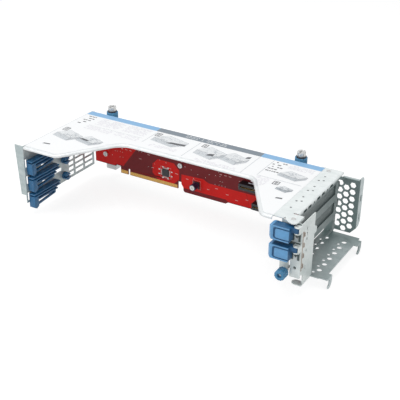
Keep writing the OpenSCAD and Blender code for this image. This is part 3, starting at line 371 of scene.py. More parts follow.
GALVANISED = sheet_metal("galvanised_sheet", (0.52, 0.58, 0.58), (0.34, 0.41, 0.42), metallic=0.4)
FRONT_SHEET = sheet_metal("front_sheet", (0.76, 0.81, 0.8), (0.58, 0.64, 0.63), metallic=0.25)
TOP_SHEET = sheet_metal("top_sheet", (0.8, 0.82, 0.83), (0.66, 0.69, 0.7), metallic=0.2)
# The bracket wall is bright where it lies flat as the strip, with painted shade below the bend; the
# shroud has painted shade on its vent plate and on its floor by the wall, its rim left light.
PAINTED_SHADE_BELOW_BEND = ("Z", (at(0, 0, -1.2).z, at(0, 0, -3.5).z))
STRIP_WITH_PAINTED_SHADE = sheet_metal("bare_strip_painted_shade", (0.84, 0.88, 0.88), (0.66, 0.71, 0.71), metallic=0.25,
                           dull=((0.17, 0.21, 0.21), [PAINTED_SHADE_BELOW_BEND]))
# Painted shade on the vent plate, and on the shroud's floor by the wall.
PLATE_PAINTED_SHADE = [("Y", (REAR_Y - 30 * MM, REAR_Y - 4 * MM)),
              ("Y", (REAR_Y + 0.5 * MM, REAR_Y))]
FLOOR_PAINTED_SHADE_BY_WALL = [("X", (SHROUD_LOW.x + 36 * MM, SHROUD_LOW.x + 3 * MM)),
                 ("Y", (REAR_Y, REAR_Y - 2 * MM)),
                 ("Z", (SHROUD_LOW.z + 30 * MM, SHROUD_LOW.z + 15 * MM))]
SHROUD = sheet_metal("shroud_with_painted_shade", (0.52, 0.58, 0.58), (0.34, 0.41, 0.42), metallic=0.4,
                     dull=((0.2, 0.26, 0.26), PLATE_PAINTED_SHADE, FLOOR_PAINTED_SHADE_BY_WALL))
# The slot covers are painted near black: painted shade for the recess they sit in.
COVER_IN_PAINTED_SHADE = sheet_metal("cover_painted_shade", (0.085, 0.115, 0.115), (0.055, 0.075, 0.075), 60.0, 0.6, 0.35)
# Near-black discs for painted shade in the strip's dimples.
DIMPLE_SHADE = sheet_metal("dimple_painted_shade", (0.2, 0.23, 0.23), (0.12, 0.14, 0.14), metallic=0.3)
FASTENER = sheet_metal("turned_steel", (0.66, 0.66, 0.65), (0.42, 0.43, 0.44), 900.0, 0.5, 0.9, 0.0003)
FINGER = sheet_metal("finger_strip_metal", (0.5, 0.45, 0.4), (0.27, 0.21, 0.17), 700.0, 0.8, 0.7, 0.0002)
TINNED = sheet_metal("tinned_parts", (0.7, 0.7, 0.68), (0.5, 0.5, 0.5), 1400.0, 0.4, 0.8, 0.0001)
GOLD = sheet_metal("gold_contacts", (0.8, 0.5, 0.14), (0.55, 0.3, 0.07), 1400.0, 0.4, 0.85, 0.0001)
GUIDE_BLUE = plastic("guide_plastic", (0.015, 0.125, 0.28))
# Painted shade: the groove round a latch's pad and the latch's flanks are painted darker than its face.
LATCH_PAINTED_SHADE = [("Y", (LATCH_LOW.y + 0.4 * MM, LATCH_LOW.y + 0.8 * MM)),
               ("X", (LATCH_LOW.x + 4.6 * MM, LATCH_LOW.x + 5.6 * MM))]
LATCH_BLUE = plastic("latch_plastic_painted_shade", (0.12, 0.34, 0.62), dull=((0.01, 0.085, 0.2), LATCH_PAINTED_SHADE))
KNOB_BLUE = plastic("knob_plastic", (0.05, 0.23, 0.42))
RING_DARK = plastic("retaining_ring", (0.02, 0.022, 0.03), 0.0003, worn=(0.2, 0.2, 0.2))
CONNECTOR = plastic("connector_plastic", (0.012, 0.012, 0.014), 0.0004, worn=(0.1, 0.1, 0.11))
CHIP_BODY = plastic("chip_package", (0.018, 0.018, 0.02), 0.0002, 4000.0, worn=(0.08, 0.08, 0.09))
SLEEVE = plastic("capacitor_sleeve", (0.03, 0.018, 0.07), 0.0004, worn=(0.15, 0.12, 0.25))
FILM_WHITE = ink("label_white", (0.9, 0.91, 0.92), 0.03)
MAROON = solder_mask("mask_dark_red", (0.2, 0.008, 0.012))
BOARD_RED = solder_mask("mask_bright_red", (0.86, 0.008, 0.005))
TRACE_RED = solder_mask("mask_over_trace", (0.36, 0.008, 0.006))

# ---- Meshes ----


def new_object(name, mesh, body):
    """A finished piece at the origin that rides on a body and takes its finish from a slot."""
    piece = bpy.data.objects.new(name, mesh)
    bpy.context.scene.collection.objects.link(piece)
    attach(piece, body)
    return piece


def smooth_below(mesh, degrees):
    """Smooth shading, but edges that turn more than the angle stay sharp."""
    for face in mesh.polygons:
        face.use_smooth = True
    mesh.set_sharp_from_angle(angle=math.radians(degrees))


def piece_from(name, bm, material, body, smooth=None):
    """A piece from a mesh in the making, with its faces turned outwards."""
    bmesh.ops.recalc_face_normals(bm, faces=bm.faces)
    mesh = bpy.data.meshes.new(name)
    bm.to_mesh(mesh)
    bm.free()
    mesh.materials.append(material)
    if smooth:
        smooth_below(mesh, smooth)
    return new_object(name, mesh, body)


def on_label(u, v, lift):
    """A point above the label, from the cage's x and y."""
    return at(u, v, LABEL_HIGH.z + lift)


def on_board(u, v, lift):
    """A point in front of the board, from the cage's x and z."""
    return at(u, BOARD_LOW.y - lift, v)


def prism(bm, outline, low, high, place):
    """A thin closed plate over an outline, between two heights above the surface that carries it."""
    n = len(outline)
    lower = [bm.verts.new(place(u, v, low)) for u, v in outline]
    upper = [bm.verts.new(place(u, v, high)) for u, v in outline]
    bm.faces.new(lower)
    bm.faces.new(upper)
    for k in range(n):
        bm.faces.new((lower[k], lower[(k + 1) % n], upper[(k + 1) % n], upper[k]))


def printed(name, outlines, material, place, layer=0, thickness=INK):
    """Ink or copper in one colour, as thin plates on the label or the board."""
    bm = bmesh.new()
    low = INK_LIFT + layer * thickness
    for outline in outlines:
        prism(bm, outline, low, low + thickness, place)
    return piece_from(name, bm, material, "root")


def rectangle(u0, v0, u1, v1):
    """The four corners of a box."""
    return [(u0, v0), (u1, v0), (u1, v1), (u0, v1)]


def stroke(u0, v0, u1, v1, width):
    """A straight line of ink as a narrow rectangle."""
    run = Vector((u1 - u0, v1 - v0)).normalized() * width / 2
    return [(u0 + run.y, v0 - run.x), (u1 + run.y, v1 - run.x),
            (u1 - run.y, v1 + run.x), (u0 - run.y, v0 + run.x)]


def disc(u, v, r, sides=14):
    """The corners of a round plate."""
    return [(u + r * math.cos(2 * math.pi * k / sides), v + r * math.sin(2 * math.pi * k / sides))
            for k in range(sides)]


def frame_lines(u0, v0, u1, v1, width):
    """The outline of a box as four strokes."""
    return [stroke(u0, v0, u1, v0, width), stroke(u1, v0, u1, v1, width),
            stroke(u1, v1, u0, v1, width), stroke(u0, v1, u0, v0, width)]


# ---- Finished copies of CAD nodes ----


def finished_copy(node, material, width=0.0, segments=2, turn=28.0, smooth=32.0):
    """A merged copy of a CAD node with rounded edges, which stands for the node."""
    cad = NODES[node]
    bm = bmesh.new()
    bm.from_mesh(cad.data)
    bmesh.ops.remove_doubles(bm, verts=bm.verts, dist=2e-6)
    if width:
        bmesh.ops.dissolve_limit(bm, angle_limit=math.radians(0.6), verts=bm.verts, edges=bm.edges)
    mesh = bpy.data.meshes.new(node + "_mesh")
    bm.to_mesh(mesh)
    bm.free()
    for layer in [a.name for a in mesh.attributes if a.name == "custom_normal"]:
        mesh.attributes.remove(mesh.attributes[layer])
    mesh.materials.clear()
    mesh.materials.append(material)
    for face in mesh.polygons:
        face.material_index = 0
    if width:
        holder = bpy.data.objects.new(node + "_holder", mesh)
        bpy.context.scene.collection.objects.link(holder)
        rounding = holder.modifiers.new("rounded edges", "BEVEL")
        rounding.width = width
        rounding.segments = segments
        rounding.limit_method = "ANGLE"
        rounding.angle_limit = math.radians(turn)
        rounding.use_clamp_overlap = True
        graph = bpy.context.evaluated_depsgraph_get()
        mesh = bpy.data.meshes.new_from_object(holder.evaluated_get(graph))
        bpy.data.objects.remove(holder)
    smooth_below(mesh, smooth)
    piece = new_object(node + "_finish", mesh, cad["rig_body"])
    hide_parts(node)
    return piece


def repaint(node, material):
    """A CAD node that shows its own mesh takes a material in all its slots."""
    for place in NODES[node].material_slots:
        place.material = material


# ---- Geometry Nodes trees ----


def geometry_tree(name, inputs):
    """An empty Geometry Nodes tree; returns it, its input node and the identifiers of its inputs."""
    tree = bpy.data.node_groups.new(name, "GeometryNodeTree")
    kinds = {"value": "NodeSocketFloat", "count": "NodeSocketInt", "vector": "NodeSocketVector",
             "material": "NodeSocketMaterial"}
    identifiers = {}
    for label, kind in inputs:
        identifiers[label] = tree.interface.new_socket(
            name=label, in_out="INPUT", socket_type=kinds[kind]).identifier
    tree.interface.new_socket(name="Geometry", in_out="OUTPUT", socket_type="NodeSocketGeometry")
    return tree, tree.nodes.new("NodeGroupInput"), identifiers


def close_tree(tree, start, instances):
    """Realize Instances and Set Material end each tree."""
    real = tree.nodes.new("GeometryNodeRealizeInstances")
    painted = tree.nodes.new("GeometryNodeSetMaterial")
    end = tree.nodes.new("NodeGroupOutput")
    tree.links.new(instances, real.inputs[0])
    tree.links.new(real.outputs[0], painted.inputs["Geometry"])
    tree.links.new(start.outputs["Finish"], painted.inputs["Material"])
    tree.links.new(painted.outputs[0], end.inputs[0])


def row_tree():
    """Small blocks in a row, such as contacts in a connector."""
    tree, start, names = geometry_tree("block_row", [
        ("Count", "count"), ("First", "vector"), ("Step", "vector"), ("Block", "vector"),
        ("Finish", "material")])
    line = tree.nodes.new("GeometryNodeMeshLine")
    block = tree.nodes.new("GeometryNodeMeshCube")
    spread = tree.nodes.new("GeometryNodeInstanceOnPoints")
    tree.links.new(start.outputs["Count"], line.inputs["Count"])
    tree.links.new(start.outputs["First"], line.inputs["Start Location"])
    tree.links.new(start.outputs["Step"], line.inputs["Offset"])
    tree.links.new(start.outputs["Block"], block.inputs["Size"])
    tree.links.new(line.outputs["Mesh"], spread.inputs["Points"])
    tree.links.new(block.outputs["Mesh"], spread.inputs["Instance"])
    close_tree(tree, start, spread.outputs["Instances"])
    return tree, names


def ridge_tree():
    """Ridges of a screw thread, one below the other along an axis."""
    tree, start, names = geometry_tree("thread_ridges", [
        ("Count", "count"), ("First", "vector"), ("Step", "vector"), ("Turn", "vector"),
        ("Root Radius", "value"), ("Crest Radius", "value"), ("Half Pitch", "value"),
        ("Finish", "material")])
    line = tree.nodes.new("GeometryNodeMeshLine")
    tree.links.new(start.outputs["Count"], line.inputs["Count"])
    tree.links.new(start.outputs["First"], line.inputs["Start Location"])
    tree.links.new(start.outputs["Step"], line.inputs["Offset"])
    ridge = tree.nodes.new("GeometryNodeMeshCone")
    ridge.inputs["Vertices"].default_value = 20
    tree.links.new(start.outputs["Root Radius"], ridge.inputs["Radius Top"])
    tree.links.new(start.outputs["Crest Radius"], ridge.inputs["Radius Bottom"])
    tree.links.new(start.outputs["Half Pitch"], ridge.inputs["Depth"])
    spread = tree.nodes.new("GeometryNodeInstanceOnPoints")
    tree.links.new(line.outputs["Mesh"], spread.inputs["Points"])
    tree.links.new(ridge.outputs["Mesh"], spread.inputs["Instance"])
    tree.links.new(start.outputs["Turn"], spread.inputs["Rotation"])
    close_tree(tree, start, spread.outputs["Instances"])
    return tree, names


def via_tree():
    """Plated holes scattered over a grid on the board's face, some of them left out."""
    tree, start, names = geometry_tree("via_field", [
        ("Columns", "count"), ("Rows", "count"), ("Width", "value"), ("Height", "value"),
        ("Centre", "vector"), ("Radius", "value"), ("Left Out", "value"), ("Shift", "vector"),
        ("Seed", "count"), ("Finish", "material")])
    grid = tree.nodes.new("GeometryNodeMeshGrid")
    sockets = {"Columns": "Vertices X", "Rows": "Vertices Y", "Width": "Size X", "Height": "Size Y"}
    for label, socket in sockets.items():
        tree.links.new(start.outputs[label], grid.inputs[socket])
    chance = tree.nodes.new("FunctionNodeRandomValue")
    chance.data_type = "BOOLEAN"
    tree.links.new(start.outputs["Left Out"], chance.inputs["Probability"])
    tree.links.new(start.outputs["Seed"], chance.inputs["Seed"])
    thinned = tree.nodes.new("GeometryNodeDeleteGeometry")
    tree.links.new(grid.outputs["Mesh"], thinned.inputs["Geometry"])
    tree.links.new([s for s in chance.outputs if s.type == "BOOLEAN"][0], thinned.inputs["Selection"])
    upright = tree.nodes.new("GeometryNodeTransform")
    upright.inputs["Rotation"].default_value = (math.pi / 2, 0, 0)
    tree.links.new(thinned.outputs[0], upright.inputs["Geometry"])
    tree.links.new(start.outputs["Centre"], upright.inputs["Translation"])
    drift = tree.nodes.new("FunctionNodeRandomValue")
    drift.data_type = "FLOAT_VECTOR"
    drift.inputs["Min"].default_value = (0, 0, 0)
    tree.links.new(start.outputs["Shift"], drift.inputs["Max"])
    tree.links.new(start.outputs["Seed"], drift.inputs["Seed"])
    moved = tree.nodes.new("GeometryNodeSetPosition")
    tree.links.new(upright.outputs[0], moved.inputs["Geometry"])
    tree.links.new([s for s in drift.outputs if s.type == "VECTOR"][0], moved.inputs["Offset"])
    pad = tree.nodes.new("GeometryNodeMeshCylinder")
    pad.inputs["Vertices"].default_value = 10
    pad.inputs["Depth"].default_value = 2 * INK * MM
    tree.links.new(start.outputs["Radius"], pad.inputs["Radius"])
    spread = tree.nodes.new("GeometryNodeInstanceOnPoints")
    spread.inputs["Rotation"].default_value = (math.pi / 2, 0, 0)
    tree.links.new(moved.outputs[0], spread.inputs["Points"])
    tree.links.new(pad.outputs["Mesh"], spread.inputs["Instance"])
    close_tree(tree, start, spread.outputs["Instances"])
    return tree, names


def grown(name, tree_and_names, values, body):
    """The mesh that a Geometry Nodes tree gives for these values, as a plain piece."""
    tree, names = tree_and_names
    holder = bpy.data.objects.new(name + "_holder", bpy.data.meshes.new(name + "_seed"))
    bpy.context.scene.collection.objects.link(holder)
    grower = holder.modifiers.new("grower", "NODES")
    grower.node_group = tree
    for label, value in values.items():
        grower[names[label]] = value
    graph = bpy.context.evaluated_depsgraph_get()
    mesh = bpy.data.meshes.new_from_object(holder.evaluated_get(graph))
    mesh.name = name
    bpy.data.objects.remove(holder)
    return new_object(name, mesh, body)


ROW = row_tree()
RIDGES = ridge_tree()
VIAS = via_tree()

# ---- CAD nodes and their finishes ----

SHEETS = {"left_end_panel": GALVANISED, "front_wall": FRONT_SHEET, "vent_shroud": SHROUD,
          "bracket_wall": STRIP_WITH_PAINTED_SHADE}
FASTENERS = ("end_panel_rivets", "shroud_rivets", "latch_pin_upper", "latch_pin_lower",
             "captive_ferrule_left", "captive_ferrule_right", "front_ferrule", "front_screw",
             "board_screws", "board_standoffs")


def dress_cad_nodes():
    """Every CAD node gets its finish: on its own mesh, or on a copy with rounded edges."""
    for node, sheet in SHEETS.items():
        repaint(node, sheet)
    for node in FASTENERS:
        repaint(node, FASTENER)
    for node in ("captive_ring_left", "captive_ring_right", "front_ring"):
        repaint(node, RING_DARK)
    repaint("contact_finger_strip", FINGER)
    repaint("top_label", FILM_WHITE)
    repaint("edge_contacts", GOLD)
    repaint("board_components", TINNED)
    repaint("riser_board", MAROON)
    finished_copy("top_panel", TOP_SHEET, smooth=40)
    for level in ("upper", "middle", "lower"):
        finished_copy("card_guide_" + level, GUIDE_BLUE, 0.25 * MM)
        finished_copy("guide_button_" + level, GUIDE_BLUE, 0.3 * MM)
        finished_copy("slot_connector_" + level, CONNECTOR, 0.2 * MM)
    for level in ("upper", "lower"):
        finished_copy("latch_" + level, LATCH_BLUE, 0.45 * MM, 3)
    for level in ("upper", "middle"):
        finished_copy("slot_cover_" + level, COVER_IN_PAINTED_SHADE, 0.12 * MM)
    for side in ("left", "right"):
        finished_copy("captive_knob_" + side, KNOB_BLUE, 0.3 * MM)
        finished_copy("captive_screw_" + side, FASTENER, 0.25 * MM)
    finished_copy("front_knob", KNOB_BLUE, 0.3 * MM)
    finished_copy("main_chip", CHIP_BODY, 0.15 * MM)
    finished_copy("capacitor_base", CONNECTOR, 0.2 * MM)
    finished_copy("capacitor_can", SLEEVE, 0.6 * MM, 3, 40, 45)


# ---- Label print: bands of colour, framed fields, blocks of short marks and plain drawings ----

STRIPE_FRONT = 114.0
GREY_FROM = 100.0
GREY_TO = 233.0
MARK_H = 0.8


def mark_rows(u0, u1, v0, v1, pitch, rng, fill=0.75, height=MARK_H):
    """Rows of short marks of uneven length."""
    marks = []
    v = v1
    while v - height >= v0:
        u = u0
        while u < u1 - 1.5:
            length = rng.uniform(1.2, 4.2)
            if rng.random() < fill:
                marks.append(rectangle(u, v - height, min(u + length, u1), v))
            u += length + 0.8
        v -= pitch
    return marks


def cage_drawing(u0, v0, w, h):
    """A plain isometric drawing of a folded cage: a slanted top, a front and a side, as outlines."""
    rear_left = (u0 + 0.3 * w, v0 + h)
    rear_right = (u0 + w, v0 + 0.72 * h)
    front_right = (u0 + 0.72 * w, v0 + 0.3 * h)
    front_left = (u0, v0 + 0.55 * h)
    low_left = (u0, v0 + 0.22 * h)
    low_right = (u0 + 0.72 * w, v0)
    low_rear = (u0 + w, v0 + 0.42 * h)
    top = [front_left, rear_left, rear_right, front_right]
    front = [front_left, front_right, low_right, low_left]
    side = [front_right, rear_right, low_rear, low_right]
    return top, front, side


def outline_strokes(outline, width):
    """The edges of an outline as strokes."""
    return [stroke(*p, *q, width) for p, q in zip(outline, outline[1:] + outline[:1])]


def shading_strokes(outline, steps, width):
    """Strokes across a four-cornered face, parallel to its first edge."""
    a, b, c, d = (Vector(p) for p in outline)
    return [stroke(*a.lerp(d, k / steps), *b.lerp(c, k / steps), width) for k in range(1, steps)]


def drawing_details(u0, v0, w, h, rng):
    """Short strokes scattered over a drawing, along its slanted edges."""
    strokes = []
    for _ in range(26):
        u = u0 + w * rng.uniform(0.12, 0.8)
        v = v0 + h * rng.uniform(0.25, 0.8)
        length = rng.uniform(1.0, 4.5)
        slope = rng.choice((-0.45, 0.5, 0.0))
        strokes.append(stroke(u, v, u + length, v + slope * length, rng.uniform(0.25, 0.7)))
    return strokes


def print_label():
    """All the ink on the top panel's label."""
    rng = random.Random(7)
    rear = LABEL_HIGH.y
    left = LABEL_LOW.x
    right = LABEL_HIGH.x
    blue = ink("ink_blue", (0.2, 0.43, 0.7))
    slate = ink("ink_slate", (0.16, 0.2, 0.24))
    pale = ink("ink_pale_grey", (0.74, 0.77, 0.79))
    mid = ink("ink_grey", (0.36, 0.4, 0.44))
    dark = ink("ink_dark", (0.05, 0.055, 0.065))
    faint = ink("ink_faint", (0.68, 0.66, 0.72))
    blue_bands = [rectangle(left, STRIPE_FRONT, GREY_FROM, rear),
                  rectangle(GREY_TO, STRIPE_FRONT, right, rear)]
    printed("label_blue_bands", blue_bands, blue, on_label)
    grey_band = [rectangle(GREY_FROM, STRIPE_FRONT, GREY_TO, rear)]
    printed("label_grey_band", grey_band, slate, on_label)
    printed("label_band_marks", mark_rows(137, 190, 117, 121.5, 3.4, rng, 0.6), FILM_WHITE, on_label,
            1)
    drawings = [(7, 38, 32, 26), (38, 40, 30, 22), (108, 84, 42, 26), (166, 78, 34, 30), (196, 80, 31, 27),
                (268, 78, 30, 20), (280, 50, 17, 13)]
    faces = [cage_drawing(*d) for d in drawings]
    printed("label_drawing_tops", [f[0] for f in faces], ink("ink_wash", (0.83, 0.85, 0.86)), on_label)
    printed("label_drawing_fronts", [f[1] for f in faces], pale, on_label)
    edges = [e for f in faces for side in f for e in outline_strokes(side, 0.3)]
    printed("label_drawing_edges", edges, mid, on_label, 1)
    shading = [e for f in faces for e in shading_strokes(f[1], 7, 0.35) + shading_strokes(f[2], 6, 0.3)]
    shading += [e for f in faces for e in shading_strokes(f[0], 9, 0.2)]
    printed("label_drawing_shading", shading, mid, on_label, 2)
    details = [d for drawing in drawings for d in drawing_details(*drawing, rng)]
    printed("label_drawing_details", details, mid, on_label, 3)
    wedges = [[(127, 91), (150, 93), (150, 97), (132, 95.5)], [(181, 86), (189, 87), (189, 93), (183, 91)],
              [(221, 101), (226, 102), (226, 107), (222, 105.5)],
              [(289, 34.5), (296, 36), (295.5, 38.5), (289.5, 37)],
              [(13, 18.5), (22, 20), (21.5, 22), (14, 21)], [(40, 50), (51, 48.5), (52, 51.5), (42, 53)]]
    printed("label_dark_shapes", wedges, dark, on_label, 3)
    badges = [(7, 61, 13, 69), (105.5, 102, 111.5, 110), (166, 103, 171.5, 110.5),
              (272.5, 61.5, 278.5, 68.5)]
    boxes = [side for box in badges for side in frame_lines(*box, 0.8)]
    bars = [rectangle(u0 + 1.6, v0 + k * (v1 - v0) / 4 - 0.4, u1 - 1.6, v0 + k * (v1 - v0) / 4 + 0.6)
            for u0, v0, u1, v1 in badges for k in (1, 2, 3)]
    printed("label_badges", boxes + bars, dark, on_label, 3)
    dark_pitch = 5.6
    dark_blocks = [(8, 20, 84, 111), (252, 267, 84, 111)]
    dark_marks = [m for block in dark_blocks for m in mark_rows(*block, dark_pitch, rng, 0.6, 1.9)]
    printed("label_dark_marks", dark_marks, dark, on_label)
    pale_pitch = 2.4
    pale_blocks = [(28, 62, 92, 111), (66, 97, 92, 111), (114, 148, 74, 81), (176, 226, 66, 74),
                   (24, 60, 76, 86), (252, 267, 50, 70), (270, 298, 101, 111), (64, 97, 76, 86)]
    pale_marks = [m for block in pale_blocks for m in mark_rows(*block, pale_pitch, rng)]
    printed("label_pale_marks", pale_marks, faint, on_label, 1)
    rule_w = 0.4
    rules = [stroke(103.5, 79, 103.5, 113, rule_w), stroke(160, 70, 160, 113, rule_w),
             stroke(233, 68, 233, 113, rule_w), stroke(250, 74, 250, 113, rule_w),
             stroke(250, 72, 300, 72, rule_w), stroke(24, 88, 98, 88, 0.3)]
    printed("label_rules", rules, mid, on_label, 1)


STRIP_W = 20.5
DIMPLE_FIRST = 40.8
DIMPLE_PITCH = 26.5
DIMPLE_R = 1.05


def strip_dimples():
    """Painted shade in the pressed dimples of the bare strip: dark discs in threes and one alone in front.
    """
    wall_x = LABEL_HIGH.x + STRIP_W
    spots = [(wall_x - 13.0, DIMPLE_FIRST - 15)]
    for k in range(3):
        y = DIMPLE_FIRST + k * DIMPLE_PITCH
        spots += [(wall_x - 14.2, y), (wall_x - 9.7, y + 2), (wall_x - 12.2, y + 11.4)]
    bm = bmesh.new()
    for u, v in spots:
        prism(bm, disc(u, v, DIMPLE_R, 16), -0.12, 0.02, at)
    piece_from("strip_dimple_shade_discs", bm, DIMPLE_SHADE, "root")


# ---- Board: copper areas, traces, print, vias and small parts ----


def dress_board():
    """Bright copper areas, traces, print and plated holes on the board's front face."""
    top = BOARD_HIGH.z - 1
    low = BOARD_LOW.z
    edge_z = CONTACT_HIGH.z
    first = CONTACT_LOW.x
    right = BOARD_HIGH.x - 1
    chip_x = (CHIP_LOW.x + CHIP_HIGH.x) / 2
    chip_z = (CHIP_LOW.z + CHIP_HIGH.z) / 2
    left_area = [(BOARD_LOW.x + 0.6, top), (68, top), (68, -31), (47, -59.4), (36.5, -59.4), (35, -61.4),
                 (BOARD_LOW.x + 0.6, -61.4)]
    wide, tall, cut = 18.5, 13.2, 7.5
    octagon = [(chip_x + a * (wide - p), chip_z + 1.5 + b * (tall - q)) for a, b, p, q in (
        (-1, -1, 0, cut), (-1, 1, 0, cut), (-1, 1, cut, 0), (1, 1, cut, 0),
        (1, 1, 0, cut), (1, -1, 0, cut), (1, -1, cut, 0), (-1, -1, cut, 0))]
    lower_area = [(129, -50), (158, -48.5), (165, -52), (right, -52), (right, -68.8), (191.6, -68.8),
                  (188, -66.6), (132, -66.6), (129, -62)]
    printed("board_bright_areas", [left_area, octagon, lower_area], BOARD_RED, on_board)
    traces = []
    for k in range(15):
        x = first + 18 + k * 3.2
        bend = chip_x + (k - 7) * 1.3
        traces += [stroke(x, edge_z + 0.2, x, edge_z + 2, 0.25),
                   stroke(x, edge_z + 2, bend, chip_z - 7, 0.25)]
    for k in range(9):
        x = 74 + k * 1.6
        z = -12 - k * 1.6
        traces += [stroke(x, z, 200, z, 0.3), stroke(x, z, x, -30 - k * 0.6, 0.3)]
    for k in range(7):
        x = 214 + k * 10
        traces.append(stroke(x, -52.5, x + 4, -66, 0.3))
    printed("board_traces", traces, TRACE_RED, on_board, 1)
    pink = ink("board_print", (0.75, 0.42, 0.4))
    dashes = [(123, -51), (137, -54), (165, -60), (190, -60), (215, -60), (181, -37), (187, -37), (193, -37),
              (46, -37), (52, -37), (58, -37), (176, -56), (202, -64), (72, -44), (84, -36)]
    marks = [rectangle(x - 1.6, z - 0.35, x + 1.6, z + 0.35) for x, z in dashes]
    outlines = frame_lines(chip_x - 7, chip_z - 7, chip_x + 7, chip_z + 7, 0.25)
    outlines += frame_lines(CAN_LOW.x - 1.4, CAN_LOW.z - 1.4, CAN_HIGH.x + 1.4, CAN_HIGH.z + 1.4, 0.25)
    printed("board_marks", marks + outlines, pink, on_board, 2)
    grown("board_vias", VIAS, {
        "Columns": 44, "Rows": 9, "Width": 180 * MM, "Height": 44 * MM,
        "Centre": at(155, BOARD_LOW.y - 3 * INK, -30), "Radius": 0.35 * MM, "Left Out": 0.62,
        "Shift": Vector((2.6, 0, 2.2)) * MM, "Seed": 11, "Finish": TINNED}, "root")
    grown("board_vias_left", VIAS, {
        "Columns": 12, "Rows": 6, "Width": 40 * MM, "Height": 30 * MM,
        "Centre": at(29, BOARD_LOW.y - 3 * INK, -34), "Radius": 0.35 * MM, "Left Out": 0.6,
        "Shift": Vector((2.0, 0, 2.0)) * MM, "Seed": 5, "Finish": TINNED}, "root")


def capacitor_top():
    """Bare aluminium end of the can, pressed with a cross, inside the sleeve's rim."""
    centre_x = (CAN_LOW.x + CAN_HIGH.x) / 2
    centre_z = (CAN_LOW.z + CAN_HIGH.z) / 2
    radius = (CAN_HIGH.x - CAN_LOW.x) / 2 - 1.0

    def facing(u, v, lift):
        return at(centre_x + u, CAN_LOW.y - lift, centre_z + v)

    bm = bmesh.new()
    prism(bm, disc(0, 0, radius, 32), -0.3, 0.06, facing)
    piece_from("capacitor_end", bm, TINNED, "root", 40)
    # The pressed cross is drawn as thin dark strips: painted shade in its grooves.
    bm = bmesh.new()
    for angle in (0.3, 0.3 + math.pi / 2):
        reach = radius * 0.62
        prism(bm, stroke(-reach * math.cos(angle), -reach * math.sin(angle),
                         reach * math.cos(angle), reach * math.sin(angle), 0.3), 0.05, 0.09, facing)
    piece_from("capacitor_score_painted_shade", bm, CONNECTOR, "root")


def connector_contacts():
    """Two rows of gold contacts in the slot of each connector."""
    for level in ("upper", "middle", "lower"):
        low, high = cage_box("slot_connector_" + level)
        middle = (low.z + high.z) / 2
        pitch = 1.0
        count = int((high.x - low.x - 6) / pitch)
        for row, side in (("top", 1), ("bottom", -1)):
            grown("slot_contacts_%s_%s" % (level, row), ROW, {
                "Count": count, "First": at(low.x + 3, low.y + 2.2, middle + side * 0.8),
                "Step": Vector((pitch, 0, 0)) * MM, "Block": Vector((0.5, 3.4, 0.35)) * MM,
                "Finish": GOLD}, "root")


def screw_threads():
    """Thread ridges on the tips of the captive screws."""
    for side in ("left", "right"):
        low, high = cage_box("captive_screw_" + side)
        x = (low.x + high.x) / 2
        y = (low.y + high.y) / 2
        grown("captive_thread_" + side, RIDGES, {
            "Count": 9, "First": at(x, y, low.z + 0.25), "Step": Vector((0, 0, 0.62)) * MM,
            "Turn": (0.0, 0.0, 0.0), "Root Radius": 1.72 * MM, "Crest Radius": 2.0 * MM,
            "Half Pitch": 0.36 * MM, "Finish": FASTENER}, "captive_turn_" + side)
    low, high = cage_box("front_screw")
    x = (low.x + high.x) / 2
    z = (low.z + high.z) / 2
    grown("front_thread", RIDGES, {
        "Count": 9, "First": at(x, high.y - 4.6, z), "Step": Vector((0, 0.5, 0)) * MM,
        "Turn": (-math.pi / 2, 0.0, 0.0), "Root Radius": 1.22 * MM, "Crest Radius": 1.48 * MM,
        "Half Pitch": 0.3 * MM, "Finish": FASTENER}, "front_turn")


# ---- Stage, lights and camera ----

YAW = math.radians(30.46)
PITCH = math.radians(27.2)
ROLL = math.radians(-0.69)
LENS = 77.67
CAMERA_REACH = 900.0
AIM = Vector((27.8, -19.6, 6.2))


def aim_camera():
    """The camera looks at a point near the middle of the cage, turned, tilted and slightly rolled."""
    centre = (CAD_LOW + CAD_HIGH) / 2
    forward = Vector((-math.sin(YAW) * math.cos(PITCH), math.cos(YAW) * math.cos(PITCH), -math.sin(PITCH)))
    right = Vector((math.cos(YAW), math.sin(YAW), 0))
    down = forward.cross(right)
    side = math.cos(ROLL) * right + math.sin(ROLL) * down
    lower = -math.sin(ROLL) * right + math.cos(ROLL) * down
    data = bpy.data.cameras.new("camera")
    data.lens = LENS
    data.sensor_width = 36.0
    data.clip_end = 20.0
    camera = bpy.data.objects.new("camera", data)
    turn = Matrix((side, -lower, -forward)).transposed().to_4x4()
    camera.matrix_world = Matrix.Translation(centre + AIM * MM - forward * CAMERA_REACH * MM) @ turn
    bpy.context.scene.collection.objects.link(camera)
    bpy.context.scene.camera = camera


def soft_lamp(name, place, size, watts):
    """A square lamp that faces the middle of the cage."""
    centre = (CAD_LOW + CAD_HIGH) / 2
    data = bpy.data.lights.new(name, "AREA")
    data.size = size
    data.energy = watts
    lamp = bpy.data.objects.new(name, data)
    lamp.location = centre + Vector(place)
    lamp.rotation_euler = (centre - lamp.location).to_track_quat("-Z", "Y").to_euler()
    bpy.context.scene.collection.objects.link(lamp)


def seen_directly(tree):
    """1 for camera, glossy and transmission rays, 0 for the light that falls on the object."""
    rays = tree.nodes.new("ShaderNodeLightPath")
    seen = maths(tree, "MAXIMUM", rays.outputs["Is Camera Ray"], rays.outputs["Is Glossy Ray"])
    return maths(tree, "MAXIMUM", seen, rays.outputs["Is Transmission Ray"])


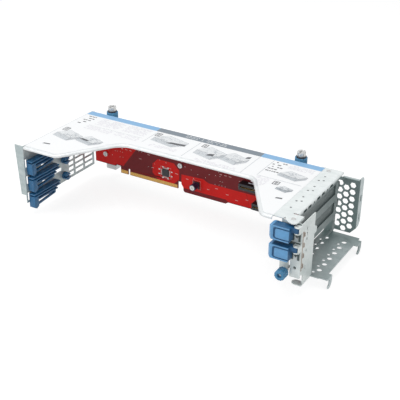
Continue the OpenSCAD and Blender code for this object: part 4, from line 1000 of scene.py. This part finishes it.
def white_floor():
    """A pale floor that shows white, a little darker where the cage shades it."""
    bpy.ops.mesh.primitive_plane_add(size=12.0, location=(0, 0, CAD_LOW.z - 0.0002))
    floor = bpy.context.object
    floor.name = "floor"
    material = bpy.data.materials.new("floor_paint")
    material.use_nodes = True
    tree = material.node_tree
    lit = tree.nodes["Principled BSDF"]
    lit.inputs["Base Color"].default_value = (0.25, 0.25, 0.25, 1)
    lit.inputs["Roughness"].default_value = 0.9
    lit.inputs["Specular IOR Level"].default_value = 0.0
    glow = tree.nodes.new("ShaderNodeEmission")
    glow.inputs["Strength"].default_value = 0.84
    both = tree.nodes.new("ShaderNodeAddShader")
    tree.links.new(lit.outputs[0], both.inputs[0])
    tree.links.new(glow.outputs[0], both.inputs[1])
    plain = tree.nodes.new("ShaderNodeBsdfDiffuse")
    plain.inputs["Color"].default_value = (0.8, 0.8, 0.8, 1)
    choose = tree.nodes.new("ShaderNodeMixShader")
    tree.links.new(seen_directly(tree), choose.inputs[0])
    tree.links.new(plain.outputs[0], choose.inputs[1])
    tree.links.new(both.outputs[0], choose.inputs[2])
    tree.links.new(choose.outputs[0], tree.nodes["Material Output"].inputs["Surface"])
    floor.data.materials.append(material)


def white_world():
    """A white surround that lights the object more softly than it shows."""
    world = bpy.data.worlds.new("studio")
    bpy.context.scene.world = world
    world.use_nodes = True
    tree = world.node_tree
    back = tree.nodes["Background"]
    back.inputs["Color"].default_value = (1, 1, 1, 1)
    strength = remap(tree, seen_directly(tree), 0.0, 1.0, 0.4, 1.0)
    tree.links.new(strength, back.inputs["Strength"])


def build_stage():
    """Floor, surround and three lamps, each with its place in metres from the middle, size and watts."""
    white_floor()
    white_world()
    soft_lamp("lamp_above", (-0.1, -0.2, 1.3), 1.0, 10.5)
    soft_lamp("lamp_front_left", (-0.8, -1.2, 0.6), 0.9, 7.0)
    soft_lamp("lamp_right", (1.2, -0.5, 0.7), 0.7, 3.0)
    bpy.context.scene.view_settings.view_transform = "Standard"


dress_cad_nodes()
print_label()
strip_dimples()
dress_board()
capacitor_top()
connector_contacts()
screw_threads()
build_stage()
aim_camera()
